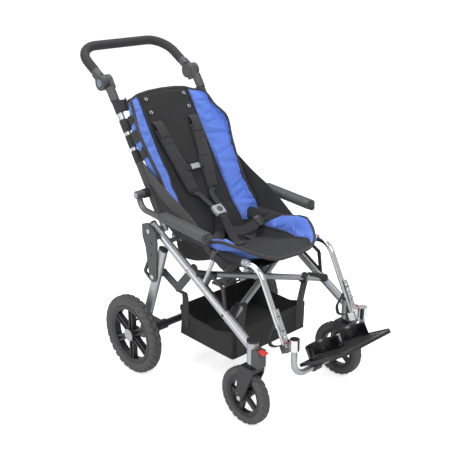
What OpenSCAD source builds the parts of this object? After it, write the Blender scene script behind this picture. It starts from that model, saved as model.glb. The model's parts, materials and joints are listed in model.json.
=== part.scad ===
// Special needs buggy: folding silver tube frame, sling seat with a winged back,
// swivelling front wheels, height-set footrest and an angle-set push handle.
// Millimetres, +Z up, the rider looks along -Y, floor at z = 0.
// Points are set out from the rear axle and moved into the shared frame at the end.

/* [Wheels] */
// Outside diameter of the rear tyres
rear_wheel_d = 280; // [260:1:300]
// Width of the rear tyres
rear_tyre_w = 44; // [36:1:46]
// Distance between the middles of the rear tyres
rear_track = 566; // [560:1:600]
// Outside diameter of the front tyres
front_wheel_d = 190; // [170:1:200]
// Width of the front tyres
front_tyre_w = 38; // [30:1:44]
// Rear axle to the swivel axis of the front wheels
wheelbase = 527; // [515:1:560]
// How far the front axle trails its swivel axis
caster_trail = 30; // [22:1:36]
// Diameter of the swivel stem
stem_d = 20; // [16:1:22]

/* [Frame] */
// Distance between the axes of the front legs
leg_span = 444; // [440:1:448]
// Outside diameter of the front legs
leg_d = 28; // [25:0.5:30]
// Back pivot ahead of the rear axle
pivot_fwd = 73; // [65:1:80]
// Height of the back pivot
pivot_h = 530; // [520:1:545]
// Rear leg pivot ahead of the rear axle
fold_fwd = 85; // [78:1:92]
// Drop from the back pivot to the rear leg pivot
fold_drop = 158; // [150:1:168]
// Distance between the middles of the rear legs
rear_leg_span = 470; // [468:1:474]
// Depth of the oval rear legs
rear_leg_depth = 36; // [32:1:40]
// Width of the oval rear legs
rear_leg_w = 24; // [20:1:25]
// Wall of the frame tubes
tube_wall = 2; // [1.5:0.1:3]
// Diameter of the cross tube between the rear legs
axle_tube_d = 25; // [20:1:28]
// Diameter of the front brace tubes
brace_d = 21; // [18:0.5:22]
// Thickness of the fold plates and leg stays
plate_t = 6; // [4:0.5:7]
// Width of the leg stay arms
stay_w = 28; // [22:1:32]
// Diameter of the pivot bolts
bolt_d = 8; // [6:0.5:9]

/* [Back] */
// Distance between the axes of the back tubes
back_span = 380; // [376:1:382]
// Diameter of the back tubes
back_tube_d = 22; // [19:0.5:23]
// Lean of the back behind upright
back_angle = 32.5; // [28:0.5:36]
// Length of the back tubes above the pivot
back_len = 465; // [450:1:480]
// Length of the back cover
back_cover_len = 430; // [410:1:432]
// Thickness of the padded back
back_pad_t = 12; // [8:1:13]
// Forward reach of the side wings at shoulder height
wing_reach = 104; // [90:1:110]

/* [Handle] */
// Rise of the handle arms above level
handle_angle = 32; // [20:1:45]
// Reach of the straight handle arms beyond the joint
handle_arm = 108; // [95:1:130]
// Corner radius of the handle
handle_r = 80; // [60:1:90]
// Diameter of the handle tube
handle_tube_d = 22; // [20:0.5:24]
// Outside diameter of the foam grip
grip_d = 33; // [30:0.5:35]
// Diameter of the handle joints
joint_d = 52; // [48:1:56]
// Width of a handle joint
joint_w = 40; // [36:1:42]
// Press travel of a handle button
button_travel = 3; // [2:0.5:3.5]

/* [Seat] */
// Distance between the axes of the seat rails
rail_span = 320; // [312:1:324]
// Diameter of the seat rails
rail_d = 24; // [23:0.5:25]
// Drop from the back pivot to the seat rails
rail_drop = 30; // [26:1:38]
// Front end of the seat rails ahead of the rear axle
rail_front = 440; // [425:1:448]
// Thickness of the padded seat
seat_pad_t = 12; // [9:1:13]
// Front edge of the seat ahead of the rear axle
seat_front = 478; // [465:1:485]
// Rise of the seat bolsters over the seat
bolster_h = 56; // [45:1:60]

/* [Armrests] */
// Distance between the armrest tubes
arm_span = 470; // [466:1:480]
// Armrest pivot above the back pivot, along the back tube
arm_rise = 125; // [112:1:140]
// Drop from the armrest pivot to the arm tube
arm_drop = 46; // [42:1:52]
// Reach of the arm tube ahead of its pivot
arm_len = 345; // [320:1:355]
// Diameter of the arm tube
arm_tube_d = 20; // [18:0.5:22]
// Width of the armrest pads
arm_pad_w = 46; // [40:1:48]
// Length of the armrest pads
arm_pad_len = 222; // [200:1:228]
// Forward slope of the armrests
arm_slope = 4; // [2:0.5:6]

/* [Footrest] */
// Diameter of the footrest hangers
hanger_d = 19; // [18:0.5:20]
// Bend radius of the hangers
hanger_r = 60; // [52:1:66]
// Forward lean of the hangers off upright
hanger_lean = 27.5; // [26:0.5:29]
// Diameter of the sliding inner tubes
slide_d = 15; // [13:0.5:15]
// Travel of the footrest length setting
slide_travel = 45; // [30:1:48]
// Diameter of the U-shaped foot tube
foot_tube_d = 19; // [17:0.5:20]
// Corner radius of the foot tube
foot_tube_r = 50; // [42:1:54]
// Drop from the footrest clamps to the foot tube cross bar
foot_drop = 90; // [85:1:97]
// Width of the footplate
footplate_w = 266; // [240:1:272]
// Depth of the footplate
footplate_len = 174; // [160:1:185]
// Upward pitch of the footplate
footplate_pitch = 30.7; // [24:0.5:34]
// Height of the heel straps
heel_h = 42; // [34:1:48]

/* [Basket] */
// Width of the basket
basket_w = 344; // [320:1:348]
// Depth of the basket front to back
basket_len = 265; // [250:1:272]
// Height of the basket walls
basket_h = 105; // [90:1:115]
// Height of the basket floor
basket_z = 148; // [142:1:156]
// Front of the basket ahead of the rear axle
basket_front = 385; // [378:1:392]

/* [Fits] */
// Radial gap of a turning or sliding fit
turn_gap = 0.05; // [0.03:0.01:0.08]
// Gap between pieces that are seated on each other
seat_gap = 0.1; // [0.05:0.05:0.2]
// Gap between pieces that move past each other
move_gap = 0.5; // [0.3:0.1:0.8]

/* [Hidden] */
$fn = 48;
silver = [0.72, 0.73, 0.75];
chrome = [0.85, 0.86, 0.88];
dark = [0.2, 0.21, 0.23];
black = [0.06, 0.06, 0.07];
blue = [0.3, 0.45, 0.85];
red = [0.75, 0.1, 0.1];
// Half widths
leg_x = leg_span / 2;
rear_leg_x = rear_leg_span / 2;
back_x = back_span / 2;
rail_x = rail_span / 2;
arm_x = arm_span / 2;
wheel_x = rear_track / 2;
// Wheel heights and the swivel
axle_h = rear_wheel_d / 2;
front_h = front_wheel_d / 2;
crown_h = front_wheel_d + 6;
socket_h = front_wheel_d + 32;
socket_d = stem_d + 16;
leg_low = socket_h + 45.9;
leg_angle = atan2(pivot_h - leg_low, wheelbase - pivot_fwd);
leg_len = (wheelbase - pivot_fwd) / cos(leg_angle);
socket_top = leg_low + 25;
leg_top = 20;
// Rear legs
fold_h = pivot_h - fold_drop;
rear_lean = atan2(fold_fwd, fold_h - axle_h);
rear_fold_s = norm([fold_fwd, fold_h - axle_h]);
rear_leg_top = rear_fold_s + 109;
cross_y = -46;
cross_z = axle_h + 20;
// Outer faces that the fold plates and stays stand on
plate_x = rear_leg_x + rear_leg_w / 2 + 1;
stay_x = leg_x - leg_d / 2 - plate_t - 2;
stay_knee = [-155, fold_h - 32];
stay_t = 0.3625 * leg_len;
// Handle joint, in the frame of the back tubes
joint_off = 19;
joint_s = back_len + 65;
joint_yz = [-pivot_fwd + joint_s * sin(back_angle) + joint_off * cos(back_angle),
  pivot_h + joint_s * cos(back_angle) - joint_off * sin(back_angle)];
bow_half = back_x - handle_r;
bow_top = handle_arm + handle_r;
sleeve_end = 62;
// Armrest pivot
arm_yz = [-pivot_fwd + arm_rise * sin(back_angle), pivot_h + arm_rise * cos(back_angle)];
arm_pin_d = 12;
// Footrest
rail_h = pivot_h - rail_drop;
bend = 90 - hanger_lean;
hang_start = rail_front + 10;
slide_end = 228;
hanger_len = 150;
// The foot tube stands ahead of the lower ends of the slides
foot_y = -hang_start - hanger_r * sin(bend) - slide_end * cos(bend) - 30.5;
clamp_z = rail_h - hanger_r * (1 - cos(bend)) - slide_end * sin(bend) + 19.53;
foot_bar_h = clamp_z - foot_drop;
clamp_h = 37;
clamp_d = foot_tube_d + 11;
plate_top = 29;
// Front of the footplate and back of the grip: the frame's origin lies midway
front_y = foot_y - (14 + footplate_len) * cos(footplate_pitch) + (plate_top - 10) * sin(footplate_pitch);
back_y = joint_yz[0] + bow_top * cos(handle_angle) + grip_d / 2;
frame_y = -(front_y + back_y) / 2;

// A point of the plane through both front legs: across, down the leg, above the plane
function on_legs(x, t, h) = [x,
  -pivot_fwd - t * cos(leg_angle) - h * sin(leg_angle),
  pivot_h - t * sin(leg_angle) + h * cos(leg_angle)];

module in_frame() translate([0, frame_y, 0]) children();
module side(s) if (s > 0) children(); else mirror([1, 0, 0]) children();
module both() { children(); mirror([1, 0, 0]) children(); }
// A round bar from p to q
module rod(p, q, d) {
  v = q - p;
  translate(p) rotate([0, acos(v[2] / norm(v)), atan2(v[1], v[0])]) cylinder(h = norm(v), d = d);
}
// A round bar across the buggy
module xrod(x0, x1, yz, d) translate([x0, yz[0], yz[1]]) rotate([0, 90, 0])
  cylinder(h = x1 - x0, d = d);
// A flat plate in a side plane, drawn as (y, z)
module side_plate(x, t) translate([x, 0, 0]) rotate([90, 0, 90]) linear_extrude(t) children();
// A bar with square ends between two points of a drawing
module bar2d(a, b, w) translate(a) rotate(atan2(b[1] - a[1], b[0] - a[0]))
  translate([0, -w / 2]) square([norm(b - a), w]);
// A closed padded form between two grids of points, its upper and its lower face
module quilt(a, b) {
  n = len(a);
  m = len(a[0]);
  o = n * m;
  polyhedron(points = concat([for (r = a) each r], [for (r = b) each r]), faces = concat(
    [for (j = [0:n - 2]) for (i = [0:m - 2]) let (k = j * m + i)
      each [[k, k + 1, k + m + 1], [k, k + m + 1, k + m]]],
    [for (j = [0:n - 2]) for (i = [0:m - 2]) let (k = o + j * m + i)
      each [[k, k + m + 1, k + 1], [k, k + m, k + m + 1]]],
    [for (j = [0:n - 2]) let (k = j * m) each [[k, k + m, o + k + m], [k, o + k + m, o + k]]],
    [for (j = [0:n - 2]) let (k = j * m + m - 1) each [[k, o + k + m, k + m], [k, o + k, o + k + m]]],
    [for (k = [0:m - 2]) each [[k, o + k + 1, k + 1], [k, o + k, o + k + 1]]],
    [for (k = [o - m:o - 2]) each [[k, k + 1, o + k + 1], [k, o + k + 1, o + k]]]));
}
// Frames of the back, the rear leg, the hanger and the footplate
module in_back() translate([0, -pivot_fwd, pivot_h]) rotate([-back_angle, 0, 0]) children();
module in_rear_leg() translate([rear_leg_x, 0, axle_h]) rotate([rear_lean, 0, 0]) children();
module in_bow() translate([0, joint_yz[0], joint_yz[1]]) rotate([handle_angle, 0, 0]) children();
module in_arm() translate([arm_x, arm_yz[0], arm_yz[1]]) rotate([arm_slope, 0, 0]) children();
module in_hanger() translate([rail_x, -hang_start, rail_h - hanger_r]) rotate([bend, 0, 0])
  translate([0, 0, hanger_r]) rotate([-90, 0, 0]) children();
module in_plate() translate([0, foot_y, foot_bar_h]) rotate([-footplate_pitch, 0, 0]) children();
module in_caster() translate([leg_x, -wheelbase, 0]) children();

// Front leg with the welded swivel socket
module leg_solid(grow) rod(on_legs(leg_x, -leg_top, 0), on_legs(leg_x, leg_len, 0), leg_d + 2 * grow);
module front_leg() color(silver) difference() {
  union() {
    leg_solid(0);
    in_caster() translate([0, 0, socket_h]) cylinder(h = socket_top - socket_h, d = socket_d);
  }
  rod(on_legs(leg_x, -leg_top - 1, 0), on_legs(leg_x, leg_len - 36, 0), leg_d - 2 * tube_wall);
  in_caster() translate([0, 0, socket_h - 1])
    cylinder(h = socket_top - socket_h - 9, d = stem_d + 2 * turn_gap);
  xrod(leg_x - leg_d, leg_x + leg_d, [-pivot_fwd, pivot_h], bolt_d + 2 * seat_gap);
  stay_bolt(2 * seat_gap, 1);
}
module front_leg_left() front_leg();
module front_leg_right() side(-1) front_leg();

// Where the leg stay is bolted to the front leg
stay_yz = [on_legs(0, stay_t, 0)[1], on_legs(0, stay_t, 0)[2]];
module stay_bolt(grow, over) xrod(stay_x - 3 - over, leg_x + leg_d / 2 + 3 + over, stay_yz,
  bolt_d - 2 + grow);

// Housing of the swivel lock, clasping the socket
housing_y = -40;
lock_pin = [-wheelbase - 30, socket_top - 24];
module swivel_housing() color(dark) difference() {
  translate([leg_x - 16, -wheelbase + housing_y, socket_h - 4])
    cube([32, -housing_y, socket_top - 14 - socket_h]);
  in_caster() cylinder(h = 600, d = socket_d + 2 * seat_gap);
  leg_solid(seat_gap);
  translate([leg_x - 11, -wheelbase + housing_y - 1, lock_pin[1] - 5.2])
    cube([22, 17, 30]);
  xrod(leg_x - 14, leg_x + 14, lock_pin, 4 + 2 * turn_gap);
}
module swivel_housing_left() swivel_housing();
module swivel_housing_right() side(-1) swivel_housing();
// Red swivel lock lever on its pin
module caster_lock() color(red) {
  xrod(leg_x - 13.5, leg_x + 13.5, lock_pin, 4);
  xrod(leg_x - 10.6, leg_x + 10.6, lock_pin, 9);
  translate([leg_x - 10.6, lock_pin[0] - 24, lock_pin[1] - 1]) cube([21.2, 24, 5.5]);
}
module caster_lock_left() caster_lock();
module caster_lock_right() side(-1) caster_lock();
// Black caps on the leg tops, the sockets and the rear ends of the rails
module tube_caps() color(black) both() {
  rod(on_legs(leg_x, -leg_top - 6, 0), on_legs(leg_x, -leg_top, 0), leg_d + 2);
  difference() {
    in_caster() translate([0, 0, socket_top]) cylinder(h = 7, d = socket_d + 2);
    leg_solid(seat_gap);
  }
  translate([rail_x, -rail_back + 5, rail_h]) rotate([90, 0, 0]) cylinder(h = 5, d = rail_d + 1);
}

// Two brace tubes crossing in the plane of the front legs
brace_low = 0.7575 * leg_len;
brace_high = 0.433 * leg_len;
brace_h = brace_d / 2 + move_gap;
brace_mid = (brace_low + brace_high) / 2;
function brace_end(s, t) = on_legs(s * (leg_x - 26), t, 0);
module brace_tube(s, grow) rod(
  on_legs(s * (leg_x - 26), brace_low, s * brace_h),
  on_legs(-s * (leg_x - 26), brace_high, s * brace_h), brace_d + grow);
module brace_bolt(grow) rod(on_legs(0, brace_mid, -brace_d - 4), on_legs(0, brace_mid, brace_d + 4),
  bolt_d - 2 + grow);
module cross_brace() color(silver) for (s = [1, -1]) difference() {
  brace_tube(s, 0);
  brace_bolt(2 * seat_gap);
}
// Black sleeves that hold the brace ends on the legs
module brace_sleeve(s, e) {
  p = on_legs(s * e * (leg_x - 60), e > 0 ? brace_low - 60 * brace_slope : brace_high + 60 * brace_slope,
    s * brace_h);
  q = on_legs(s * e * leg_x, e > 0 ? brace_low + 10 : brace_high - 10, s * brace_h);
  difference() {
    rod(p, q, brace_d + 7);
    brace_tube(s, 2 * seat_gap);
    both() leg_solid(seat_gap);
  }
}
brace_slope = (brace_low - brace_high) / (2 * leg_x);
module cross_brace_ends() color(black) for (s = [1, -1]) for (e = [1, -1]) brace_sleeve(s, e);

// Seat rails, hollow for the footrest hangers
rail_back = 95;
module rail_solid(grow) translate([rail_x, -rail_back, rail_h]) rotate([90, 0, 0])
  cylinder(h = rail_front - rail_back, d = rail_d + 2 * grow);
module seat_rails() color(silver) both() difference() {
  rail_solid(0);
  translate([rail_x, -rail_back + 1, rail_h]) rotate([90, 0, 0])
    cylinder(h = rail_front, d = hanger_d + 2 * seat_gap);
}
// Stubs and posts that carry the rails on the front legs
rail_post_t = leg_len / 2;
module seat_rail_brackets() color(silver) both() difference() {
  union() {
    xrod(rail_x, leg_x, [on_legs(0, 60, 0)[1], on_legs(0, 60, 0)[2]], 16);
    rod(on_legs(leg_x, rail_post_t, 0), [rail_x, on_legs(0, rail_post_t, 0)[1], rail_h], 14);
  }
  rail_solid(seat_gap);
  leg_solid(seat_gap);
}

// Knee-shaped stays inside the legs
fold_yz = [-fold_fwd, fold_h];
module leg_stays() color(dark) both() difference() {
  union() {
    side_plate(stay_x, plate_t) {
      bar2d(fold_yz, stay_knee, stay_w);
      bar2d(stay_knee, stay_yz, stay_w);
      for (p = [fold_yz, stay_knee, stay_yz]) translate(p) circle(d = stay_w + 2);
    }
    xrod(stay_x + 2, rear_leg_x - rear_leg_w / 2 - move_gap, fold_yz, 20);
    xrod(stay_x + 2, leg_x, stay_yz, 16);
  }
  xrod(stay_x - 1, leg_x + 40, fold_yz, bolt_d + 2 * seat_gap);
  stay_bolt(2 * seat_gap, 1);
  leg_solid(seat_gap);
}
// Outer fold plates on bosses against the front legs
module fold_plates() color(dark) both() difference() {
  union() {
    side_plate(plate_x, plate_t) {
      polygon([[-pivot_fwd + 37, pivot_h + 16], [-pivot_fwd + 8, pivot_h + 27],
        [-pivot_fwd - 34, pivot_h + 4], [-pivot_fwd - 38, pivot_h - 34],
        [-fold_fwd - 19, fold_h], [-fold_fwd + 19, fold_h],
        [-pivot_fwd + 22, pivot_h - 58], [-pivot_fwd + 36, pivot_h - 26]]);
      translate(fold_yz) circle(r = 19);
    }
    for (t = [0, 30]) xrod(leg_x, plate_x, [on_legs(0, t, 0)[1], on_legs(0, t, 0)[2]], 20);
  }
  for (p = [[-pivot_fwd, pivot_h], fold_yz])
    xrod(leg_x, plate_x + plate_t + 1, p, bolt_d + 2 * seat_gap);
  leg_solid(seat_gap);
  for (k = [1, 2]) xrod(plate_x - 1, plate_x + plate_t + 1,
    [-pivot_fwd - 14 + 2 * k, pivot_h - 40 * k], 7);
}
// Pivot bolts with heads and nuts, spacers by the back tubes, stay and brace bolts
module frame_bolts() color(chrome) {
  both() {
    xrod(back_x - back_tube_d / 2 - move_gap - 5, plate_x + plate_t + 1, [-pivot_fwd, pivot_h], bolt_d);
    xrod(back_x - back_tube_d / 2 - move_gap - 5, back_x - back_tube_d / 2 - move_gap,
      [-pivot_fwd, pivot_h], bolt_d + 7);
    xrod(plate_x + plate_t, plate_x + plate_t + 4, [-pivot_fwd, pivot_h], bolt_d + 8);
    difference() {
      xrod(back_x + back_tube_d / 2 + move_gap, leg_x, [-pivot_fwd, pivot_h], bolt_d + 8);
      xrod(back_x, leg_x + 1, [-pivot_fwd, pivot_h], bolt_d + 2 * seat_gap);
      leg_solid(seat_gap);
    }
    xrod(stay_x - 4, plate_x + plate_t + 1, fold_yz, bolt_d);
    xrod(stay_x - 5, stay_x, fold_yz, bolt_d + 7);
    xrod(plate_x + plate_t, plate_x + plate_t + 4, fold_yz, bolt_d + 8);
    stay_bolt(0, 0);
    xrod(stay_x - 4, stay_x, stay_yz, bolt_d + 4);
    xrod(leg_x + leg_d / 2, leg_x + leg_d / 2 + 4, stay_yz, bolt_d + 4);
  }
  brace_bolt(0);
  for (s = [1, -1]) rod(on_legs(0, brace_mid, s * (brace_d + move_gap)),
    on_legs(0, brace_mid, s * (brace_d + 5)), bolt_d + 4);
}

// Tie-down loops on the front legs
module front_tie_loops() color(black) both() difference() {
  translate([0, -pivot_fwd, pivot_h]) rotate([leg_angle, 0, 0]) side_plate(leg_x - 3, 6)
    scale([leg_len / 524.2, 1]) difference() {
      polygon([[-268, leg_d / 2 - 3], [-268, 62], [-276, 70], [-330, 73], [-340, 68],
        [-384, leg_d / 2 - 3]]);
      polygon([[-278, leg_d / 2 + 6], [-278, 60], [-329, 62], [-364, leg_d / 2 + 6]]);
    }
  leg_solid(seat_gap);
}

// Padded sling seat: crowned middle, sewn channels and bolsters that rise over the rails
bx = rail_x - 160;
seat_crown = 7;
seam_dip = 2.5;
rail_top = rail_d / 2 + 0.4;
seat_rows = [-rail_back, -118, -146, -176, -206, -236, -266, -296, -322, -344, -368, -390, -412, -434,
  -seat_front + 30, -seat_front + 14, -seat_front + 4, -seat_front];
seat_x = [0, 22, 44, 66, 88, 106, 112, 120, 132, 143, 152, 161, 170];
seat_rise = [0, 0, 0, 0, 0, 0, 0, 0.03, 0.11, 0.36, 0.71, 0.94, 1];
seat_under = [[0, -seat_pad_t], [22, -seat_pad_t], [44, -seat_pad_t], [66, -seat_pad_t],
  [88, -seat_pad_t], [106, -seat_pad_t], [118, -seat_pad_t], [137, 5 - seat_pad_t], [145.5, 5],
  [156, rail_top], [168, rail_top], [176, 24], [180, 40]];
function bolster(y) = lookup(y, [[-seat_front + 16, rail_top + 5], [-seat_front + 30, rail_top + 7],
  [-seat_front + 66, 32], [-384, bolster_h], [-340, bolster_h], [-270, 35], [-rail_back, 32]]);
function seat_swell(x, y) = pow(sin(180 * (y + rail_back) / (rail_back - seat_front)), 0.7)
  * max(0, 1 - pow(x / 112, 2));
function front_roll(y) = lookup(y, [[-seat_front, 1], [-seat_front + 4, 0.55], [-seat_front + 14, 0]]);
// The bolsters taper in towards the front corners
function drawn_in(x, y) = x < 146 ? x
  : 146 + (x - 146) * lookup(y, [[-seat_front, 0.14], [-seat_front + 32, 1]]);
function seat_upper(i, y) = [drawn_in(seat_x[i], y) + bx, seat_rise[i] * bolster(y)
  + seat_crown * seat_swell(seat_x[i], y) - (i == 6 ? seam_dip : 0) - (i < 8 ? 6 : 0) * front_roll(y)];
function seat_lower(i, y) = let (p = seat_under[i], k = (bolster(y) - rail_top) / (bolster_h - rail_top))
  [drawn_in(p[0], y) + bx, i > 10 ? rail_top + (p[1] - rail_top) * k
    : p[1] - 4 * seat_swell(p[0], y) + (i < 8 ? 2 : 0) * front_roll(y)];
function seat_z(x, y) = rail_h + lookup(x, [for (i = [0:12]) seat_upper(i, y)]);
function across(q, y) = concat([for (i = [12:-1:1]) [-q[i][0], y, rail_h + q[i][1]]],
  [for (i = [0:12]) [q[i][0], y, rail_h + q[i][1]]]);
module seat_cover() color(blue) quilt(
  [for (y = seat_rows) across([for (i = [0:12]) seat_upper(i, y)], y)],
  [for (y = seat_rows) across([for (i = [0:12]) seat_lower(i, y)], y)]);
// Cloth side panels between the back tubes and the seat sides
function back_point(s, n) = [-pivot_fwd + s * sin(back_angle) - n * cos(back_angle),
  pivot_h + s * cos(back_angle) + n * sin(back_angle)];
panel_n = back_tube_d / 2 + 2.1;
panel_t = 2.5;
panel_fold = 5;
function panel_low(u) = u < 0.3 ? back_point(26, panel_n) * (1 - u / 0.3) + [-130, rail_h + 18] * u / 0.3
  : [-130 - 170 * (u - 0.3) / 0.7, rail_h + 18];
function panel_high(u) = let (e = back_point(238, panel_n + 2))
  [lookup(u, [[0, e[0]], [0.3, -90], [0.6, -190], [1, -300]]),
   lookup(u, [[0, e[1]], [0.3, pivot_h + 130], [0.6, rail_h + 112], [1, rail_h + 38]])];
// Slack folds run from the back tube down to the seat
function panel_point(u, v, x) = let (p = panel_low(u) * (1 - v) + panel_high(u) * v)
  [back_x - 1 + x + panel_fold * sin(180 * v) * sin(180 * u) * pow(sin(300 * u + 150 * v), 2), p[0], p[1]];
module side_panels() color(dark) both() quilt(
  [for (u = [0:0.1:1.01]) [for (v = [0:0.125:1.01]) panel_point(u, v, 0)]],
  [for (u = [0:0.1:1.01]) [for (v = [0:0.125:1.01]) panel_point(u, v, panel_t)]]);

// Cloth basket, open at the top with dipped sides
basket_wall = 3;
module basket() color(dark) intersection() {
  difference() {
    translate([-basket_w / 2, -basket_front, basket_z]) cube([basket_w, basket_len, basket_h]);
    translate([-basket_w / 2 + basket_wall, -basket_front + basket_wall, basket_z + basket_wall])
      cube([basket_w - 2 * basket_wall, basket_len - 2 * basket_wall, basket_h]);
  }
  side_plate(-250, 500) polygon([[-basket_front - 1, basket_z - 1],
    [-basket_front - 1, basket_z + basket_h - 6], [-basket_front + 12, basket_z + basket_h - 6],
    [-basket_front + 70, basket_z + basket_h - 24], [-basket_front + 190, basket_z + basket_h - 22],
    [-basket_front + basket_len - 14, basket_z + basket_h],
    [-basket_front + basket_len + 1, basket_z + basket_h], [-basket_front + basket_len + 1, basket_z - 1]]);
}
// Webbing that hangs the basket from the brace and the stays
strap_x = leg_x - 82;
strap_t = brace_low - (leg_x - 26 - strap_x) * (brace_low - brace_high) / (2 * leg_x - 52);
module front_strap(s) {
  p = on_legs(s * strap_x, strap_t, s * brace_h);
  difference() {
    union() {
      side_plate(s * strap_x - 15, 30) polygon([[-basket_front - 2.5, basket_z + 10],
        [-basket_front, basket_z + 10], [-basket_front, basket_z + basket_h - 8], [p[1] + 1.3, p[2]],
        [p[1] - 1.2, p[2]], [-basket_front - 2.5, basket_z + basket_h - 8]]);
      rod(p + (p - on_legs(0, brace_mid, s * brace_h)) * 0.1, p - (p - on_legs(0, brace_mid, s * brace_h)) * 0.1,
        brace_d + 4);
    }
    brace_tube(s, 2 * seat_gap);
  }
}
module basket_straps() color(black) {
  for (s = [1, -1]) front_strap(s);
  both() rear_strap();
}
knee_low = stay_knee[1] - stay_w / 2 - 1.3;
module rear_strap() {
  translate([basket_w / 2, stay_knee[0] - 16, basket_z + 40])
    cube([2.5, 32, knee_low - basket_z - 40]);
  translate([basket_w / 2, stay_knee[0] - 16, knee_low - 3])
    cube([stay_x + plate_t - basket_w / 2, 32, 3]);
}

// Footrest hangers, bent down from the rails and bored for the slides
module hanger_line(d) {
  translate([rail_x, -rail_front + 60, rail_h]) rotate([90, 0, 0])
    cylinder(h = hang_start - rail_front + 60, d = d);
  translate([rail_x, -hang_start, rail_h - hanger_r]) rotate([90, 0, 90])
    rotate([0, 0, 90]) rotate_extrude(angle = bend) translate([hanger_r, 0]) circle(d = d);
  in_hanger() {
    translate([0, 0, -hanger_len]) cylinder(h = hanger_len, d = d);
    translate([0, 0, -3]) cylinder(h = 6, d = d + 1.2);
  }
}
module footrest_hangers() color(chrome) both() difference() {
  hanger_line(hanger_d);
  in_hanger() translate([0, 0, -hanger_len - 1])
    cylinder(h = hanger_len - 4, d = slide_d + 2 * turn_gap);
}
// Sliding inner tubes with hole strips and the clamps of the foot tube
module footrest_slides() color(chrome) both() difference() {
  union() {
    in_hanger() {
      translate([0, 0, -slide_end]) cylinder(h = slide_end - slide_travel - 10, d = slide_d);
      translate([-9, -16, -slide_end + 6]) cube([18, 3.5, slide_end - 6 - slide_travel - 50]);
      translate([-12, -16, -slide_end]) cube([24, 26, 26]);
    }
    translate([rail_x, foot_y, clamp_z]) cylinder(h = clamp_h, d = clamp_d);
    translate([rail_x - 8, foot_y, clamp_z + 4]) cube([16, 36, 18]);
  }
  translate([rail_x, foot_y, clamp_z - 1]) cylinder(h = clamp_h - 6, d = foot_tube_d + 2 * seat_gap);
  in_hanger() for (k = [0:4]) translate([0, -11, -slide_travel - 66 - 17 * k]) rotate([90, 0, 0])
    cylinder(h = 10, d = 8);
}
// U-shaped tube under the footplate
module foot_tube() color(silver) {
  both() {
    translate([rail_x, foot_y, foot_bar_h + foot_tube_r])
      cylinder(h = clamp_z + clamp_h - 8 - foot_bar_h - foot_tube_r, d = foot_tube_d);
    translate([rail_x - foot_tube_r, foot_y, foot_bar_h + foot_tube_r]) rotate([90, 0, 0])
      rotate([0, 0, 270]) rotate_extrude(angle = 90) translate([foot_tube_r, 0]) circle(d = foot_tube_d);
  }
  xrod(-rail_x + foot_tube_r, rail_x - foot_tube_r, [foot_y, foot_bar_h], foot_tube_d);
}
// Ribbed footplate on two clips that turn on the foot tube
module footplate() color(black) in_plate() {
  difference() {
    union() {
      both() {
        translate([46, 0, 0]) rotate([0, 90, 0]) cylinder(h = 30, d = foot_tube_d + 10);
        translate([46, -44, 2]) cube([30, 46, plate_top - 10]);
      }
      difference() {
        translate([-footplate_w / 2, -14 - footplate_len, plate_top - 10])
          cube([footplate_w, footplate_len, 10]);
        both() translate([footplate_w / 2, -14 - footplate_len, 0]) rotate([0, 0, 45])
          cube([40, 40, 100], center = true);
        translate([-footplate_w / 2 + 8, -6 - footplate_len, plate_top - 2.5])
          cube([footplate_w - 16, footplate_len - 16, 5]);
      }
      for (k = [0:7]) translate([-footplate_w / 2 + 34, -34 - k * (footplate_len - 40) / 8, plate_top - 3])
        cube([footplate_w - 68, 5, 2.4]);
    }
    rotate([0, 90, 0]) cylinder(h = 400, d = foot_tube_d + 2 * turn_gap, center = true);
  }
}
// Heel loops standing on the rear of the plate
heel_r = (footplate_w - 22) / 4;
module heel_straps() color(black) in_plate() both() difference() {
  translate([heel_r + 3, -16 - heel_r, plate_top]) cylinder(h = heel_h, r = heel_r);
  translate([heel_r + 3, -16 - heel_r, plate_top - 1]) cylinder(h = heel_h + 2, r = heel_r - 2.5);
  translate([-1, -20 - 2 * heel_r - 8, plate_top - 1]) cube([200, heel_r + 8, heel_h + 2]);
}

// Belts and buckle over the seat
module strap(p, q, w, t) {
  v = q - p;
  translate(p) rotate([0, 0, atan2(v[1], v[0])]) rotate([0, -atan2(v[2], norm([v[0], v[1]])), 0])
    translate([0, -w / 2, 0]) cube([norm(v), w, t]);
}
buckle = [0, -132, rail_h + 58];
module lap_harness() color(black) {
  both() strap([128, -150, seat_z(128, -150) + 0.7], [29.4, -134, rail_h + 56], 38, 4);
  strap([0, -228, seat_z(0, -228) + 0.3], [0, -154.3, rail_h + 54], 30, 4);
}
module harness_buckle() color(dark) translate(buckle) rotate([35, 0, 0]) {
  translate([-26, -20, -3]) cube([52, 40, 12]);
  cylinder(h = 12, d = 24);
}

// Oval rear leg
module rear_oval(grow) {
  w = rear_leg_w + 2 * grow;
  r = (rear_leg_depth - rear_leg_w) / 2;
  for (k = [1, -1]) translate([0, k * r]) circle(d = w);
  translate([-w / 2, -r]) square([w, 2 * r]);
}
module rear_leg_solid(grow) in_rear_leg() translate([0, 0, -26])
  linear_extrude(rear_leg_top + 26) rear_oval(grow);
module rear_leg() color(silver) difference() {
  rear_leg_solid(0);
  in_rear_leg() translate([0, 0, -21]) linear_extrude(rear_leg_top + 30) rear_oval(-tube_wall);
  xrod(rear_leg_x - 40, rear_leg_x + 40, fold_yz, bolt_d + 2 * turn_gap);
  xrod(rear_leg_x - 40, rear_leg_x + 40, [0, axle_h], axle_d + 2 * seat_gap);
}
module rear_leg_left() rear_leg();
module rear_leg_right() side(-1) rear_leg();
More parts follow.
